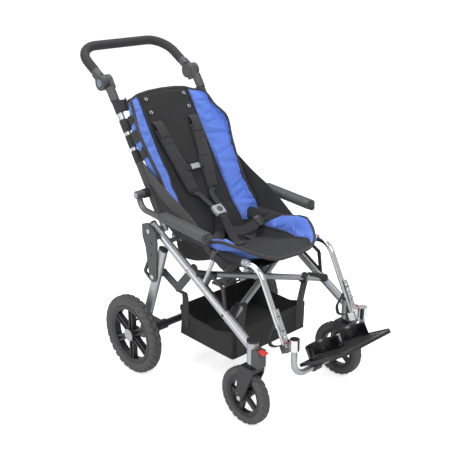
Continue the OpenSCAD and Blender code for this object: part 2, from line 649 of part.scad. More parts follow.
// Cross tube saddled on the legs, and the stub axles
axle_d = 12;
hub_x = wheel_x + 20;
module rear_axle() color(black) {
  difference() {
    union() {
      xrod(-rear_leg_x - 8, rear_leg_x + 8, [cross_y, cross_z], axle_tube_d);
      both() translate([rear_leg_x - 10, cross_y, cross_z - 9]) cube([20, 30, 18]);
    }
    both() rear_leg_solid(seat_gap);
  }
  both() {
    xrod(rear_leg_x - rear_leg_w / 2 - 1, hub_x - 8, [0, axle_h], axle_d);
    xrod(rear_leg_x - rear_leg_w / 2 - 6, rear_leg_x - rear_leg_w / 2, [0, axle_h], axle_d + 8);
    difference() {
      xrod(rear_leg_x + rear_leg_w / 2, wheel_x - 20 - move_gap, [0, axle_h], axle_d + 8);
      xrod(rear_leg_x, wheel_x, [0, axle_h], axle_d + 2 * seat_gap);
    }
  }
}
// Tie-down loops and top caps of the rear legs
module rear_leg_fittings() color(black) both() {
  difference() {
    in_rear_leg() translate([0, 0, rear_leg_top - 356.2]) side_plate(-3, 6) difference() {
      polygon([[rear_leg_depth / 2 - 3, 205], [58, 214], [66, 222], [60, 268], [52, 276],
        [rear_leg_depth / 2 - 3, 292]]);
      polygon([[rear_leg_depth / 2 + 7, 218], [55, 224], [50, 265], [rear_leg_depth / 2 + 7, 276]]);
    }
    rear_leg_solid(seat_gap);
  }
  in_rear_leg() translate([0, 0, rear_leg_top]) linear_extrude(3) rear_oval(0);
}

// Tyre section, drawn as (radius, across)
module tyre_section(ri, ro, w) polygon([[ri, -0.3 * w], [ri + 0.3 * (ro - ri), -0.43 * w],
  [ri + 0.55 * (ro - ri), -0.5 * w], [ri + 0.78 * (ro - ri), -0.46 * w],
  [ri + 0.94 * (ro - ri), -0.33 * w], [ro, -0.14 * w], [ro, 0.14 * w],
  [ri + 0.94 * (ro - ri), 0.33 * w], [ri + 0.78 * (ro - ri), 0.46 * w],
  [ri + 0.55 * (ro - ri), 0.5 * w], [ri + 0.3 * (ro - ri), 0.43 * w], [ri, 0.3 * w]]);
module rim_section(ri, ro, w) polygon([[ri, -0.4 * w], [ro - 4, -0.5 * w], [ro, -0.5 * w],
  [ro, 0.5 * w], [ro - 4, 0.5 * w], [ri, 0.4 * w]]);
rear_bead = axle_h - 36;
module rear_tyre() color(dark) translate([wheel_x, 0, axle_h]) rotate([0, 90, 0])
  rotate_extrude($fn = 96) tyre_section(rear_bead + seat_gap, axle_h, rear_tyre_w);
module rear_tyre_left() rear_tyre();
module rear_tyre_right() side(-1) rear_tyre();
// Rear rim: ring, six ribbed spokes and a closed hub
module rear_rim() color(black) translate([wheel_x, 0, axle_h]) rotate([0, 90, 0]) difference() {
  union() {
    rotate_extrude($fn = 96) rim_section(rear_bead - 14, rear_bead, 30);
    translate([0, 0, -20]) cylinder(h = 40, d = 46);
    for (k = [0:5]) rotate([0, 0, 60 * k]) {
      for (e = [1, -1]) translate([12, e * 8 - 3, -8]) cube([rear_bead - 20, 6, 18]);
      translate([12, -8, -3]) cube([rear_bead - 20, 16, 6]);
    }
  }
  translate([0, 0, -21]) cylinder(h = 34, d = axle_d + 2 * turn_gap);
}
module rear_rim_left() rear_rim();
module rear_rim_right() side(-1) rear_rim();
// Brake pedals turning on the cross tube
module brake_pedal() color(dark) difference() {
  union() {
    xrod(rear_leg_x - 60, rear_leg_x - 20, [cross_y, cross_z], axle_tube_d + 10);
    translate([rear_leg_x - 52, cross_y, cross_z + 2]) cube([24, 130, 9]);
    translate([rear_leg_x - 72, cross_y + 100, cross_z + 2]) cube([56, 36, 9]);
    xrod(rear_leg_x - 40, wheel_x - rear_tyre_w / 2 - 2, [34, cross_z + 6.5], 8);
  }
  xrod(0, 400, [cross_y, cross_z], axle_tube_d + 2 * turn_gap);
}
module brake_pedal_left() brake_pedal();
module brake_pedal_right() side(-1) brake_pedal();

// Front swivel fork with its stem
fork_x = front_tyre_w / 2 + 2.5;
front_axle_d = 8;
module caster_fork() color(black) in_caster() difference() {
  union() {
    translate([-fork_x - 6, -24, crown_h]) cube([2 * fork_x + 12, 52, 16]);
    translate([0, 0, crown_h]) cylinder(h = socket_h - crown_h - move_gap, d = socket_d - 2);
    translate([0, 0, crown_h]) cylinder(h = socket_top - 11 - crown_h, d = stem_d);
    for (x = [-fork_x - 6, fork_x]) {
      side_plate(x, 6) polygon([[-24, crown_h + 16], [28, crown_h + 16], [caster_trail + 12, crown_h - 20],
        [caster_trail + 13, front_h], [caster_trail - 13, front_h], [-6, front_h + 54], [-22, crown_h - 12]]);
      xrod(x, x + 6, [caster_trail, front_h], 26);
    }
  }
  xrod(-60, 60, [caster_trail, front_h], front_axle_d + 2 * seat_gap);
}
module caster_fork_left() caster_fork();
module caster_fork_right() side(-1) caster_fork();
module front_axle() color(chrome) in_caster() {
  xrod(-fork_x - 7, fork_x + 7, [caster_trail, front_h], front_axle_d);
  for (x = [-fork_x - 10, fork_x + 6]) xrod(x, x + 4, [caster_trail, front_h], front_axle_d + 7);
}
module front_axle_left() front_axle();
module front_axle_right() side(-1) front_axle();
front_bead = front_h - 27;
module at_front_wheel() in_caster() translate([0, caster_trail, front_h]) rotate([0, 90, 0]) children();
module front_tyre() color(dark) at_front_wheel() rotate_extrude($fn = 72)
  tyre_section(front_bead + seat_gap, front_h, front_tyre_w);
module front_tyre_left() front_tyre();
module front_tyre_right() side(-1) front_tyre();
module front_rim() color(black) at_front_wheel() difference() {
  union() {
    rotate_extrude($fn = 72) rim_section(front_bead - 10, front_bead, 24);
    translate([0, 0, -fork_x + 1]) cylinder(h = 2 * fork_x - 2, d = 28);
    for (k = [0:4]) rotate([0, 0, 72 * k + 90]) translate([8, -7, -6])
      cube([front_bead - 14, 14, 12]);
  }
  cylinder(h = 100, d = front_axle_d + 2 * turn_gap, center = true);
}
module front_rim_left() front_rim();
module front_rim_right() side(-1) front_rim();

// Back tube with the armrest pin
module back_tube() color(silver) difference() {
  union() {
    in_back() translate([back_x, 0, -16]) cylinder(h = back_len + 46, d = back_tube_d);
    xrod(back_x, arm_x + 14 + move_gap, arm_yz, arm_pin_d);
    xrod(arm_x + 14 + move_gap, arm_x + 18 + move_gap, arm_yz, arm_pin_d + 8);
  }
  in_back() translate([back_x, 0, -12]) cylinder(h = arm_rise - 10, d = back_tube_d - 2 * tube_wall);
  in_back() translate([back_x, 0, arm_rise + 20]) cylinder(h = 400, d = back_tube_d - 2 * tube_wall);
  xrod(back_x - 30, back_x + 30, [-pivot_fwd, pivot_h], bolt_d + 2 * turn_gap);
}
module back_tube_left() back_tube();
module back_tube_right() side(-1) back_tube();
// Padded back: crowned middle, sewn channels and sides that curl forward into wings
wx = back_x - 190;
wing_out = 183;
back_crown = 5;
cover_low = 48;
cover_top = cover_low + back_cover_len;
back_n = 8 + back_pad_t;
wing_in = wing_out - back_pad_t;
cover_rows = [cover_low, 62, 80, 104, 134, 167, 200, 232, 262, 292, 317, 333, 348, 368, 396, 424,
  cover_top - 28, cover_top - 10, cover_top];
cover_in = [[0, back_n], [27, back_n], [54, back_n], [81, back_n], [102, back_n], [108, back_n],
  [122, back_n + 2.5], [138, back_n + 6], [150, back_n + 13], [160, back_n + 21], [wing_in - 0.5, back_n + 39],
  [wing_in + 0.8, 80], [wing_in, 110]];
cover_out = [[0, 8], [27, 8], [54, 8], [81, 8], [104, 8], [114, 8], [130, 10.5], [145, 13], [159, 19],
  [172, 26], [wing_out - 0.2, 51], [wing_out - 0.2, 80], [wing_out, 110]];
// Forward reach of the cover's edge along the back
function edge_n(s) = lookup(s, [[cover_low, 32], [70, 50], [92, 65], [130, 73], [167, wing_reach - 28],
  [254, wing_reach - 16], [317, wing_reach], [334, wing_reach - 8], [348, 62], [365, 50], [424, 42],
  [cover_top - 28, 36], [cover_top - 6, 26], [cover_top, 22]]);
function curl(s) = (edge_n(s) - back_n) / (110 - back_n);
function back_swell(x, s) = pow(sin(180 * (s - cover_low) / back_cover_len), 0.6) * max(0, 1 - pow(x / 106, 2));
function top_draw(s) = 9 * max(0, (s - cover_top + 44) / 44);
function cover_front(i, s) = let (p = cover_in[i]) [p[0] + wx - (i > 8 ? top_draw(s) : 0),
  back_n + (p[1] - back_n) * curl(s) + back_crown * back_swell(p[0], s) - (i == 5 ? seam_dip : 0)];
function cover_rear(i, s) = let (p = cover_out[i]) [p[0] + wx - (i > 8 ? top_draw(s) : 0),
  8 + (p[1] - 8) * max(curl(s), 0.04) + (s > cover_top - 4 ? 3 : 0)];
function along(q, s) = concat([for (i = [12:-1:1]) [-q[i][0], -q[i][1], s]], [for (i = [0:12]) [q[i][0], -q[i][1], s]]);
module back_cover() color(blue) in_back() quilt(
  [for (s = cover_rows) along([for (i = [0:12]) cover_front(i, s)], s)],
  [for (s = cover_rows) along([for (i = [0:12]) cover_rear(i, s)], s)]);
// Lacing bands from the back tubes to the wings
lacing_s = [170, 250, 330, 410];
module back_lacing() color(black) in_back() both() for (s = lacing_s) {
  translate([back_x, 0, s - 18]) difference() {
    cylinder(h = 36, d = back_tube_d + 3.4);
    translate([0, 0, -1]) cylinder(h = 38, d = back_tube_d + 2 * seat_gap);
  }
  translate([wing_out + wx + 0.2, -(s > 340 ? 38 : 70), s - 18]) cube([2.4, (s > 340 ? 38 : 70) - 10.6, 36]);
}
// Lower halves of the handle joints with the hinge pins
module handle_joints() color(dark) both() {
  difference() {
    in_back() translate([back_x, 0, back_len - 12]) cylinder(h = 49, d = back_tube_d + 9);
    in_back() translate([back_x, 0, back_len - 13])
      cylinder(h = 44 + seat_gap, d = back_tube_d + 2 * seat_gap);
  }
  in_back() translate([back_x - joint_w / 2 + 2, -9, back_len + 32.5])
    cube([joint_w / 2 - 2 - move_gap, 38, 30]);
  xrod(back_x - joint_w / 2, back_x - move_gap, joint_yz, joint_d);
  xrod(back_x - joint_w / 2 + 8, back_x + 9, joint_yz, 14);
}
// Shoulder pads and chest clip
module shoulder_harness() color(black) in_back() {
  both() translate([0, -back_n - back_crown - 0.4, 0]) rotate([90, 0, 0]) linear_extrude(7)
    polygon([[55, 352], [100, 352], [64, 84], [22, 84]]);
  translate([-34, -back_n - back_crown - 13.8, 158]) cube([68, 6, 16]);
}

// Push handle: round-cornered bow on two joint halves
module bow(from) in_bow() {
  both() {
    translate([back_x, from, 0]) rotate([-90, 0, 0]) linear_extrude(handle_arm - from) children();
    translate([back_x - handle_r, handle_arm, 0]) rotate_extrude(angle = 90)
      translate([handle_r, 0]) children();
  }
  translate([-bow_half, bow_top, 0]) rotate([90, 0, 90]) linear_extrude(2 * bow_half) children();
}
module push_handle() color(dark) {
  bow(sleeve_end - 8) circle(d = handle_tube_d);
  both() difference() {
    union() {
      xrod(back_x + move_gap, back_x + joint_w / 2, joint_yz, joint_d);
      in_bow() translate([back_x, joint_d / 2 + 4, 0]) rotate([-90, 0, 0])
        cylinder(h = sleeve_end - joint_d / 2 - 4, d = 31);
      in_bow() translate([back_x + move_gap, 0, -13]) cube([joint_w / 2 - 6, sleeve_end - 8, 26]);
    }
    xrod(back_x - 1, back_x + 10, joint_yz, 14 + 2 * turn_gap);
    xrod(back_x + 11, back_x + joint_w, joint_yz, button_d + 4 * turn_gap);
  }
}
// Foam grip as a sleeve along the bow
module foam_ring() difference() {
  circle(d = grip_d);
  circle(d = handle_tube_d + 2 * seat_gap);
}
module handle_grip() color(black) bow(sleeve_end + 0.2) foam_ring();
button_d = 26;
module handle_button() color(chrome)
  xrod(back_x + 11 + button_travel + 0.5, back_x + joint_w / 2 + 2.5, joint_yz, button_d);
module handle_button_left() handle_button();
module handle_button_right() side(-1) handle_button();

// Armrest: collar on the pin, tube bent forward, pad on the tube, level-keeping knuckle
module arm_line(d) {
  rod([0, 0, 0], [0, 0, -arm_drop + arm_bend], d);
  translate([0, -arm_bend, -arm_drop + arm_bend]) rotate([90, 0, 90]) rotate([0, 0, 270])
    rotate_extrude(angle = 90) translate([arm_bend, 0]) circle(d = d);
  rod([0, -arm_bend, -arm_drop], [0, -arm_len, -arm_drop], d);
}
arm_bend = 38;
module armrest() color(silver) difference() {
  in_arm() {
    arm_line(arm_tube_d);
    rotate([0, 90, 0]) cylinder(h = 28, d = arm_tube_d + 8, center = true);
  }
  xrod(back_x, arm_x + 30, arm_yz, arm_pin_d + 2 * turn_gap);
}
module armrest_left() armrest();
module armrest_right() side(-1) armrest();
module armrest_pad() color(dark) in_arm() translate([0, -arm_len + 6 + arm_pad_len, -arm_drop])
  rotate([90, 0, 0]) linear_extrude(arm_pad_len) difference() {
    union() {
      translate([-arm_pad_w / 2, 2]) square([arm_pad_w, 15]);
      translate([-arm_pad_w / 2 + 5, 2]) square([arm_pad_w - 10, 20]);
      for (k = [1, -1]) translate([k * (arm_pad_w / 2 - 5), 17]) circle(r = 5);
      translate([-arm_tube_d / 2 - 4, -7]) square([arm_tube_d + 8, 10]);
    }
    circle(d = arm_tube_d + 2 * seat_gap);
  }
module armrest_pad_left() armrest_pad();
module armrest_pad_right() side(-1) armrest_pad();
module armrest_knuckle() color(dark) difference() {
  xrod(back_x + back_tube_d / 2 + move_gap, arm_x - 14 - move_gap, arm_yz, arm_tube_d + 12);
  xrod(back_x, arm_x, arm_yz, arm_pin_d + 2 * turn_gap);
}
module armrest_knuckle_left() armrest_knuckle();
module armrest_knuckle_right() side(-1) armrest_knuckle();

in_frame() front_leg_left();
in_frame() front_leg_right();
in_frame() swivel_housing_left();
in_frame() swivel_housing_right();
in_frame() tube_caps();
in_frame() cross_brace();
in_frame() cross_brace_ends();
in_frame() seat_rails();
in_frame() seat_rail_brackets();
in_frame() leg_stays();
in_frame() fold_plates();
in_frame() front_tie_loops();
in_frame() seat_cover();
in_frame() side_panels();
in_frame() basket();
in_frame() basket_straps();
in_frame() footrest_hangers();
in_frame() frame_bolts();
in_frame() lap_harness();
in_frame() harness_buckle();
in_frame() rear_leg_left();
in_frame() rear_leg_right();
in_frame() rear_axle();
in_frame() rear_leg_fittings();
in_frame() rear_tyre_left();
in_frame() rear_rim_left();
in_frame() rear_tyre_right();
in_frame() rear_rim_right();
in_frame() brake_pedal_left();
in_frame() brake_pedal_right();
in_frame() caster_fork_left();
in_frame() caster_fork_right();
in_frame() front_axle_left();
in_frame() front_axle_right();
in_frame() front_tyre_left();
in_frame() front_rim_left();
in_frame() front_tyre_right();
in_frame() front_rim_right();
in_frame() caster_lock_left();
in_frame() caster_lock_right();
in_frame() back_tube_left();
in_frame() back_tube_right();
in_frame() back_cover();
in_frame() back_lacing();
in_frame() handle_joints();
in_frame() shoulder_harness();
in_frame() push_handle();
in_frame() handle_grip();
in_frame() handle_button_left();
in_frame() handle_button_right();
in_frame() armrest_left();
in_frame() armrest_right();
in_frame() armrest_pad_left();
in_frame() armrest_pad_right();
in_frame() armrest_knuckle_left();
in_frame() armrest_knuckle_right();
in_frame() footrest_slides();
in_frame() foot_tube();
in_frame() footplate();
in_frame() heel_straps();
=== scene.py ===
# %% [markdown]
# A special needs buggy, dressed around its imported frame.
# The rigid parts arrive from the CAD model and keep their places. This lesson gives them finishes,
# and then makes everything that is soft: the padded seat and back, the cloth sides, the basket,
# the harness and the webbing. Sizes are in millimetres from the rear axle, as on a workshop drawing.

# %% Load the frame
import json
import math

import bpy
import numpy as np
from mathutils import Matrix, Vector


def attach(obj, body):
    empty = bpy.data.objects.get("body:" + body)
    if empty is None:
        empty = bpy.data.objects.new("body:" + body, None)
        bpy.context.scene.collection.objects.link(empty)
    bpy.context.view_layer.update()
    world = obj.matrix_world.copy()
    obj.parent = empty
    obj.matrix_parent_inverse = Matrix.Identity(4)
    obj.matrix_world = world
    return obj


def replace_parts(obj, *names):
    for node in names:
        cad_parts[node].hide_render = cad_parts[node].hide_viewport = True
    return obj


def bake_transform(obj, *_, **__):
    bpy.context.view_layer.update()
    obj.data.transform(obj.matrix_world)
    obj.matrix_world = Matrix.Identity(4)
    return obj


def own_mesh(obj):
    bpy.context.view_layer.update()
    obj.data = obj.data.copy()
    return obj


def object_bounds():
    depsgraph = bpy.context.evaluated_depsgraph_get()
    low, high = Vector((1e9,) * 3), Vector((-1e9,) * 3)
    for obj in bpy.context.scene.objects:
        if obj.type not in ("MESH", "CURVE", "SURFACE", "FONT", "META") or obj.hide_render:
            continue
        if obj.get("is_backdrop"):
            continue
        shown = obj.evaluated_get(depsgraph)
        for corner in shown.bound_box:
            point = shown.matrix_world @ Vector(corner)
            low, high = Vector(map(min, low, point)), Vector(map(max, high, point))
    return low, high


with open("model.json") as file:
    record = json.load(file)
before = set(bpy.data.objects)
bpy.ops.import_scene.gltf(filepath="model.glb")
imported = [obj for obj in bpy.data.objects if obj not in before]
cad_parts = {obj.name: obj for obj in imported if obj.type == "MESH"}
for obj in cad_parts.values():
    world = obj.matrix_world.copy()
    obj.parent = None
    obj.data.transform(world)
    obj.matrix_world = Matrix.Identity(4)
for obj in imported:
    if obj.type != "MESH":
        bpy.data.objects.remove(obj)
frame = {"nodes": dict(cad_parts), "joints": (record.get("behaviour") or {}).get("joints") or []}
cad_low, cad_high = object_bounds()
joints = {joint["name"]: joint for joint in frame["joints"]}
axle_y = joints["rear_wheel_left_spin"]["pos_m"][1]
print("frame:", len(frame["nodes"]), "nodes, rear axle at y", round(axle_y, 4))

# %% [markdown]
# Small helpers turn workshop millimetres into the frame's metres. The back leans behind upright, so
# one helper takes places on it: across, along the back tube, and forward of the tube. Others do the
# same for parts that are tilted.

# %% Places
PIVOT_Y, PIVOT_Z = -73.0, 530.0
BACK_LEAN, LEG_SLOPE = math.radians(32.5), math.radians(30.0)


def mm(x, y, z):
    """A point in millimetres from the rear axle, in the frame's metres."""
    return np.stack(np.broadcast_arrays(x, np.asarray(y) + axle_y * 1000.0, z), -1) / 1000.0


def back_place(along, forward):
    """A place of the leaning back as (y, z): along the back tube, and forward of it."""
    along, forward = np.asarray(along, float), np.asarray(forward, float)
    return (PIVOT_Y + along * math.sin(BACK_LEAN) - forward * math.cos(BACK_LEAN),
            PIVOT_Z + along * math.cos(BACK_LEAN) + forward * math.sin(BACK_LEAN))


def on_back(x, along, forward):
    return mm(x, *back_place(along, forward))


def tilted(y0, z0, angle):
    """Gives a helper for points of a tilted part: across, and along its own y and z from (y0, z0)."""
    def place(x, y, z):
        y, z = np.asarray(y, float), np.asarray(z, float)
        return mm(x, y0 + y * math.cos(angle) - z * math.sin(angle), z0 + y * math.sin(angle) + z * math.cos(angle))
    return place


def on_leg(x, down, above):
    """A point by a front leg: across, down the leg, and above its axis."""
    return tilted(PIVOT_Y, PIVOT_Z, LEG_SLOPE)(x, -down, above)


def circle(count):
    return np.linspace(0, 2 * math.pi, count, endpoint=False)


def lengths(line):
    """How far each point lies along a line."""
    return np.concatenate([[0], np.cumsum(np.linalg.norm(np.diff(line, axis=0), axis=1))])


def listed(points, sign=1, on=mm):
    """A few listed points, mirrored by the sign, in the frame or on a part."""
    x, y, z = np.array(points, float).T
    return on(sign * x, y, z)


def curve(x, table):
    """A smooth line through a few (place, value) pairs."""
    keys, values = np.array(table, float).T
    slopes = np.gradient(values, keys)
    x = np.clip(x, keys[0], keys[-1])
    i = np.clip(np.searchsorted(keys, x) - 1, 0, len(keys) - 2)
    width = keys[i + 1] - keys[i]
    t = (x - keys[i]) / width
    return (values[i] * (1 + 2 * t) * (1 - t) ** 2 + slopes[i] * width * t * (1 - t) ** 2
            + values[i + 1] * t * t * (3 - 2 * t) + slopes[i + 1] * width * t * t * (t - 1))


BACK_UP, BACK_AHEAD = on_back(0, 1, 0) - on_back(0, 0, 0), on_back(0, 0, 1) - on_back(0, 0, 0)
print("back pivot at", np.round(on_back(0, 0, 0), 4))

# %% [markdown]
# Meshes come from three builders. A pad is a closed form between a face grid and a rear grid.
# A sweep draws a profile along a path, which makes webbing, piping and bent wire. A lathe turns a
# profile round an axle, which makes caps and screws. Each gives its faces texture places in metres.
# The rider's left is at +X.

# %% Mesh builders
def piece(name, points, faces, finish, body, places=None, sharp=40.0):
    """A new object of these points and faces, which rides on a body."""
    mesh = bpy.data.meshes.new(name)
    mesh.from_pydata([tuple(p) for p in points], [], [tuple(f) for f in faces])
    if places is not None:
        layer = mesh.uv_layers.new(name="metres")
        corners = np.empty(len(mesh.loops), int)
        mesh.loops.foreach_get("vertex_index", corners)
        layer.data.foreach_set("uv", np.asarray(places, np.float32)[corners].ravel())
    mesh.validate()
    mesh.shade_smooth()
    mesh.set_sharp_from_angle(angle=math.radians(sharp))
    mesh.materials.append(finish.material)
    made = bpy.data.objects.new(name, mesh)
    bpy.context.scene.collection.objects.link(made)
    if body:
        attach(made, body)
    return made


def grid_faces(rows, columns, first=0, flip=False, wrap=False, around=False):
    """Four-sided faces of a grid of points, joined across its columns or around its rows if asked."""
    faces = []
    for r in range(rows if around else rows - 1):
        here, there = first + r * columns, first + (r + 1) % rows * columns
        for c in range(columns if wrap else columns - 1):
            d = (c + 1) % columns
            quad = [here + c, here + d, there + d, there + c]
            faces.append(quad[::-1] if flip else quad)
    return faces


def arc_places(grid):
    """Texture places in metres: how far each point lies along its row and its column."""
    down = np.concatenate([np.zeros((1, grid.shape[1])),
                           np.cumsum(np.linalg.norm(np.diff(grid, axis=0), axis=2), axis=0)])
    across = np.concatenate([np.zeros((grid.shape[0], 1)),
                             np.cumsum(np.linalg.norm(np.diff(grid, axis=1), axis=2), axis=1)], axis=1)
    return np.stack([across, down], -1).reshape(-1, 2)


def pad(name, face, rear, finish, body):
    """A closed padded form between two grids of the same shape."""
    rows, columns = face.shape[:2]
    count = rows * columns
    faces = grid_faces(rows, columns) + grid_faces(rows, columns, count, flip=True)
    rim = ([r * columns for r in range(rows)] + [(rows - 1) * columns + c for c in range(1, columns)]
           + [r * columns + columns - 1 for r in range(rows - 2, -1, -1)] + list(range(columns - 2, 0, -1)))
    for a, b in zip(rim, rim[1:] + rim[:1]):
        faces.append([a, b, b + count, a + count])
    places = arc_places(face)
    return piece(name, np.concatenate([face.reshape(-1, 3), rear.reshape(-1, 3)]), faces, finish, body,
                 np.concatenate([places, places]), 60.0)


def round_profile(diameter, sides=12):
    turn = circle(sides)
    return np.stack([np.cos(turn), np.sin(turn)], -1) * diameter / 2000.0


def flat_profile(width, thick):
    """A webbing section with soft edges."""
    w, t = width / 2000.0, thick / 2000.0
    half = [(-w, 0), (-w * 0.97, t * 0.7), (-w * 0.9, t), (-w * 0.45, t), (0, t), (w * 0.45, t),
            (w * 0.9, t), (w * 0.97, t * 0.7), (w, 0)]
    return np.array(half + [(a, -b) for a, b in half[-2:0:-1]])


def sweep(name, path, side, profile, finish, body, closed=False, scale=None):
    """A profile drawn along a path: its first axis lies along side, its second stands off the path."""
    path = np.asarray(path, float)
    count, sides = len(path), len(profile)
    step = np.roll(path, -1, 0) - np.roll(path, 1, 0) if closed else np.gradient(path, axis=0)
    step /= np.linalg.norm(step, axis=1)[:, None]
    across = np.broadcast_to(np.asarray(side, float), path.shape)
    across = across - step * np.sum(across * step, 1)[:, None]
    across = across / np.linalg.norm(across, axis=1)[:, None]
    normal = np.cross(step, across)
    size = np.ones(count) if scale is None else np.asarray(scale, float)
    drawn = profile[None, :, :1] * across[:, None] + profile[None, :, 1:] * normal[:, None]
    rings = path[:, None] + size[:, None, None] * drawn
    faces = grid_faces(count, sides, wrap=True, around=closed)
    if not closed:
        faces += [list(range(sides))[::-1], [(count - 1) * sides + c for c in range(sides)]]
    places = np.stack(np.broadcast_arrays(lengths(profile)[None, :], lengths(path)[:, None]), -1).reshape(-1, 2)
    return piece(name, rings.reshape(-1, 3), faces, finish, body, places, 50.0)


def smooth_path(points, count=40):
    """A rounded line of evenly chosen points through a few places."""
    points = np.asarray(points, float)
    run = lengths(points)
    at = np.linspace(0, run[-1], count)
    return np.stack([curve(at, np.stack([run, points[:, k]], -1)) for k in range(3)], -1)


def turned(x, r, turn, centre):
    """Points of a section, given across and by radius in millimetres, turned round a line across the buggy."""
    return np.stack(np.broadcast_arrays(x, r * np.cos(turn), r * np.sin(turn)), -1) / 1000.0 + centre


def lathe(name, centre, profile, finish, body, steps):
    """A closed form turned from (radius, across) pairs."""
    r, x = np.array(profile, float).T
    ring = turned(x[None, :], r[None, :], circle(steps)[:, None], centre)
    columns = ring.shape[1]
    faces = grid_faces(steps, columns, around=True)
    faces += [[a * columns for a in range(steps)], [a * columns + columns - 1 for a in range(steps)][::-1]]
    return piece(name, ring.reshape(-1, 3), faces, finish, body, arc_places(ring), 35.0)


SIDES = (("left", 1), ("right", -1))
ACROSS, UPRIGHT = (1, 0, 0), (0, 0, 1)
print("builders ready")

# %% [markdown]
# Finishes are shader graphs. One small class lets a socket take part in ordinary arithmetic, so a
# graph reads like a formula. Another holds one material and adds any other node by its name.

# %% Shader arithmetic
class Value:
    """A shader socket that can be added, scaled and raised like a number."""

    def __init__(self, finish, socket):
        self.finish, self.socket = finish, socket

    def _with(self, operation, other, swapped=False):
        pair = (other, self) if swapped else (self, other)
        return self.finish.node("Math", {0: pair[0], 1: pair[1]}, operation=operation)

    def __add__(self, other):
        return self._with("ADD", other)

    def __sub__(self, other):
        return self._with("SUBTRACT", other)

    def __rsub__(self, other):
        return self._with("SUBTRACT", other, swapped=True)

    def __mul__(self, other):
        return self._with("MULTIPLY", other)

    def __pow__(self, other):
        return self._with("POWER", other)

    __radd__, __rmul__ = __add__, __mul__


class Finish:
    """One material: its constants go on the shader, and what varies is fed by nodes."""

    def __init__(self, name, colour, roughness, **constants):
        self.material = bpy.data.materials.new(name)
        self.material.use_nodes = True
        self.tree = self.material.node_tree
        self.tree.nodes.clear()
        self.shader = self.tree.nodes.new("ShaderNodeBsdfPrincipled")
        output = self.tree.nodes.new("ShaderNodeOutputMaterial")
        self.tree.links.new(self.shader.outputs[0], output.inputs[0])
        self.colour = (*colour, 1.0)
        self.shader.inputs["Base Color"].default_value = self.colour
        self.shader.inputs["Roughness"].default_value = roughness
        for socket, value in constants.items():
            self.shader.inputs[socket.replace("_", " ")].default_value = value
        self.material.diffuse_color = self.colour

    def node(self, kind, sockets=None, out=0, **settings):
        """Adds a node with its settings, feeds its sockets and gives one of its outputs."""
        made = self.tree.nodes.new("ShaderNode" + kind)
        for key, value in settings.items():
            setattr(made, key, value)
        for key, value in (sockets or {}).items():
            self.feed(made.inputs[key], value)
        return Value(self, made.outputs[out])

    def feed(self, socket, value):
        if isinstance(value, Value):
            self.tree.links.new(value.socket, socket)
        else:
            socket.default_value = value

    def place(self):
        return self.node("TexCoord", out="Object")

    def metres(self):
        return self.node("UVMap", uv_map="metres")

    def noise(self, scale, detail=3.0, stretch=None):
        at = self.place()
        if stretch:
            at = self.node("Mapping", {"Vector": at, "Scale": stretch})
        return self.node("TexNoise", {"Vector": at, "Scale": scale, "Detail": detail}, "Fac")

    def tint(self, other, amount, base=None):
        """Leans the base colour towards another colour by a varying amount."""
        mixed = self.node("Mix", {0: amount, 6: base or self.colour, 7: (*other, 1.0)}, 2, data_type="RGBA")
        self.feed(self.shader.inputs["Base Color"], mixed)
        return mixed

    def rough(self, value):
        self.feed(self.shader.inputs["Roughness"], value)

    def bump(self, height, depth, edge=0.0):
        """Relief of a depth in metres, over edges softened by a radius in metres."""
        sockets = {"Height": height, "Distance": depth, "Strength": 1.0}
        if edge:
            sockets["Normal"] = self.node("Bevel", {"Radius": edge}, samples=4)
        self.feed(self.shader.inputs["Normal"], self.node("Bump", sockets))


print("shader classes ready")

# %% [markdown]
# Metals. The frame tube is satin silver with a fine drawn grain and a little handling dirt. The
# armrest tubes are darker, the footrest hangers are bright chrome, and the bolts are zinc. The black
# steel is powder coated, which shows as a faint orange peel.

# %% Metal finishes
def drawn_metal(name, colour, roughness, grain, metallic, relief=0.00004):
    made = Finish(name, colour, roughness, Metallic=metallic)
    dirt = made.noise(9.0, 5.0)
    lines = made.noise(420.0, 2.0, stretch=(1.0, 0.12, 0.12))
    made.rough(roughness - 0.05 + 0.1 * dirt + grain * lines)
    made.tint(tuple(c * 0.8 for c in colour), dirt ** 3.0 * 0.6)
    made.bump(lines, relief, edge=0.0009)
    return made


silver = drawn_metal("satin_silver", (0.45, 0.46, 0.485), 0.36, 0.08, 0.8)
gunmetal = drawn_metal("dark_tube", (0.15, 0.15, 0.155), 0.34, 0.08, 0.7)
chrome = drawn_metal("bright_chrome", (0.78, 0.79, 0.81), 0.12, 0.02, 1.0, 0.000006)
zinc = drawn_metal("zinc_plate", (0.6, 0.6, 0.6), 0.32, 0.1, 1.0)
coated = Finish("black_powder_coat", (0.018, 0.018, 0.02), 0.42)
coated.bump(coated.noise(700.0), 0.0001, edge=0.001)
coated.rough(0.34 + 0.16 * coated.noise(30.0))
print("metals:", [made.material.name for made in (silver, gunmetal, chrome, zinc, coated)])

# %% [markdown]
# Plastics and rubbers. Moulded parts have a sandy grain and paler rubbed patches, so each one mixes
# a broad noise into its colour and a fine one into its relief.

# %% Plastic and rubber finishes
def moulded(name, colour, roughness, grain, depth, rubbed=1.6):
    made = Finish(name, colour, roughness)
    sand = made.noise(grain, 2.0)
    wear = made.noise(14.0, 6.0)
    made.tint(tuple(min(1.0, c * rubbed) for c in colour), wear ** 2.0 * 0.9)
    made.rough(roughness - 0.08 + 0.16 * wear)
    made.bump(sand, depth, edge=0.0012)
    return made


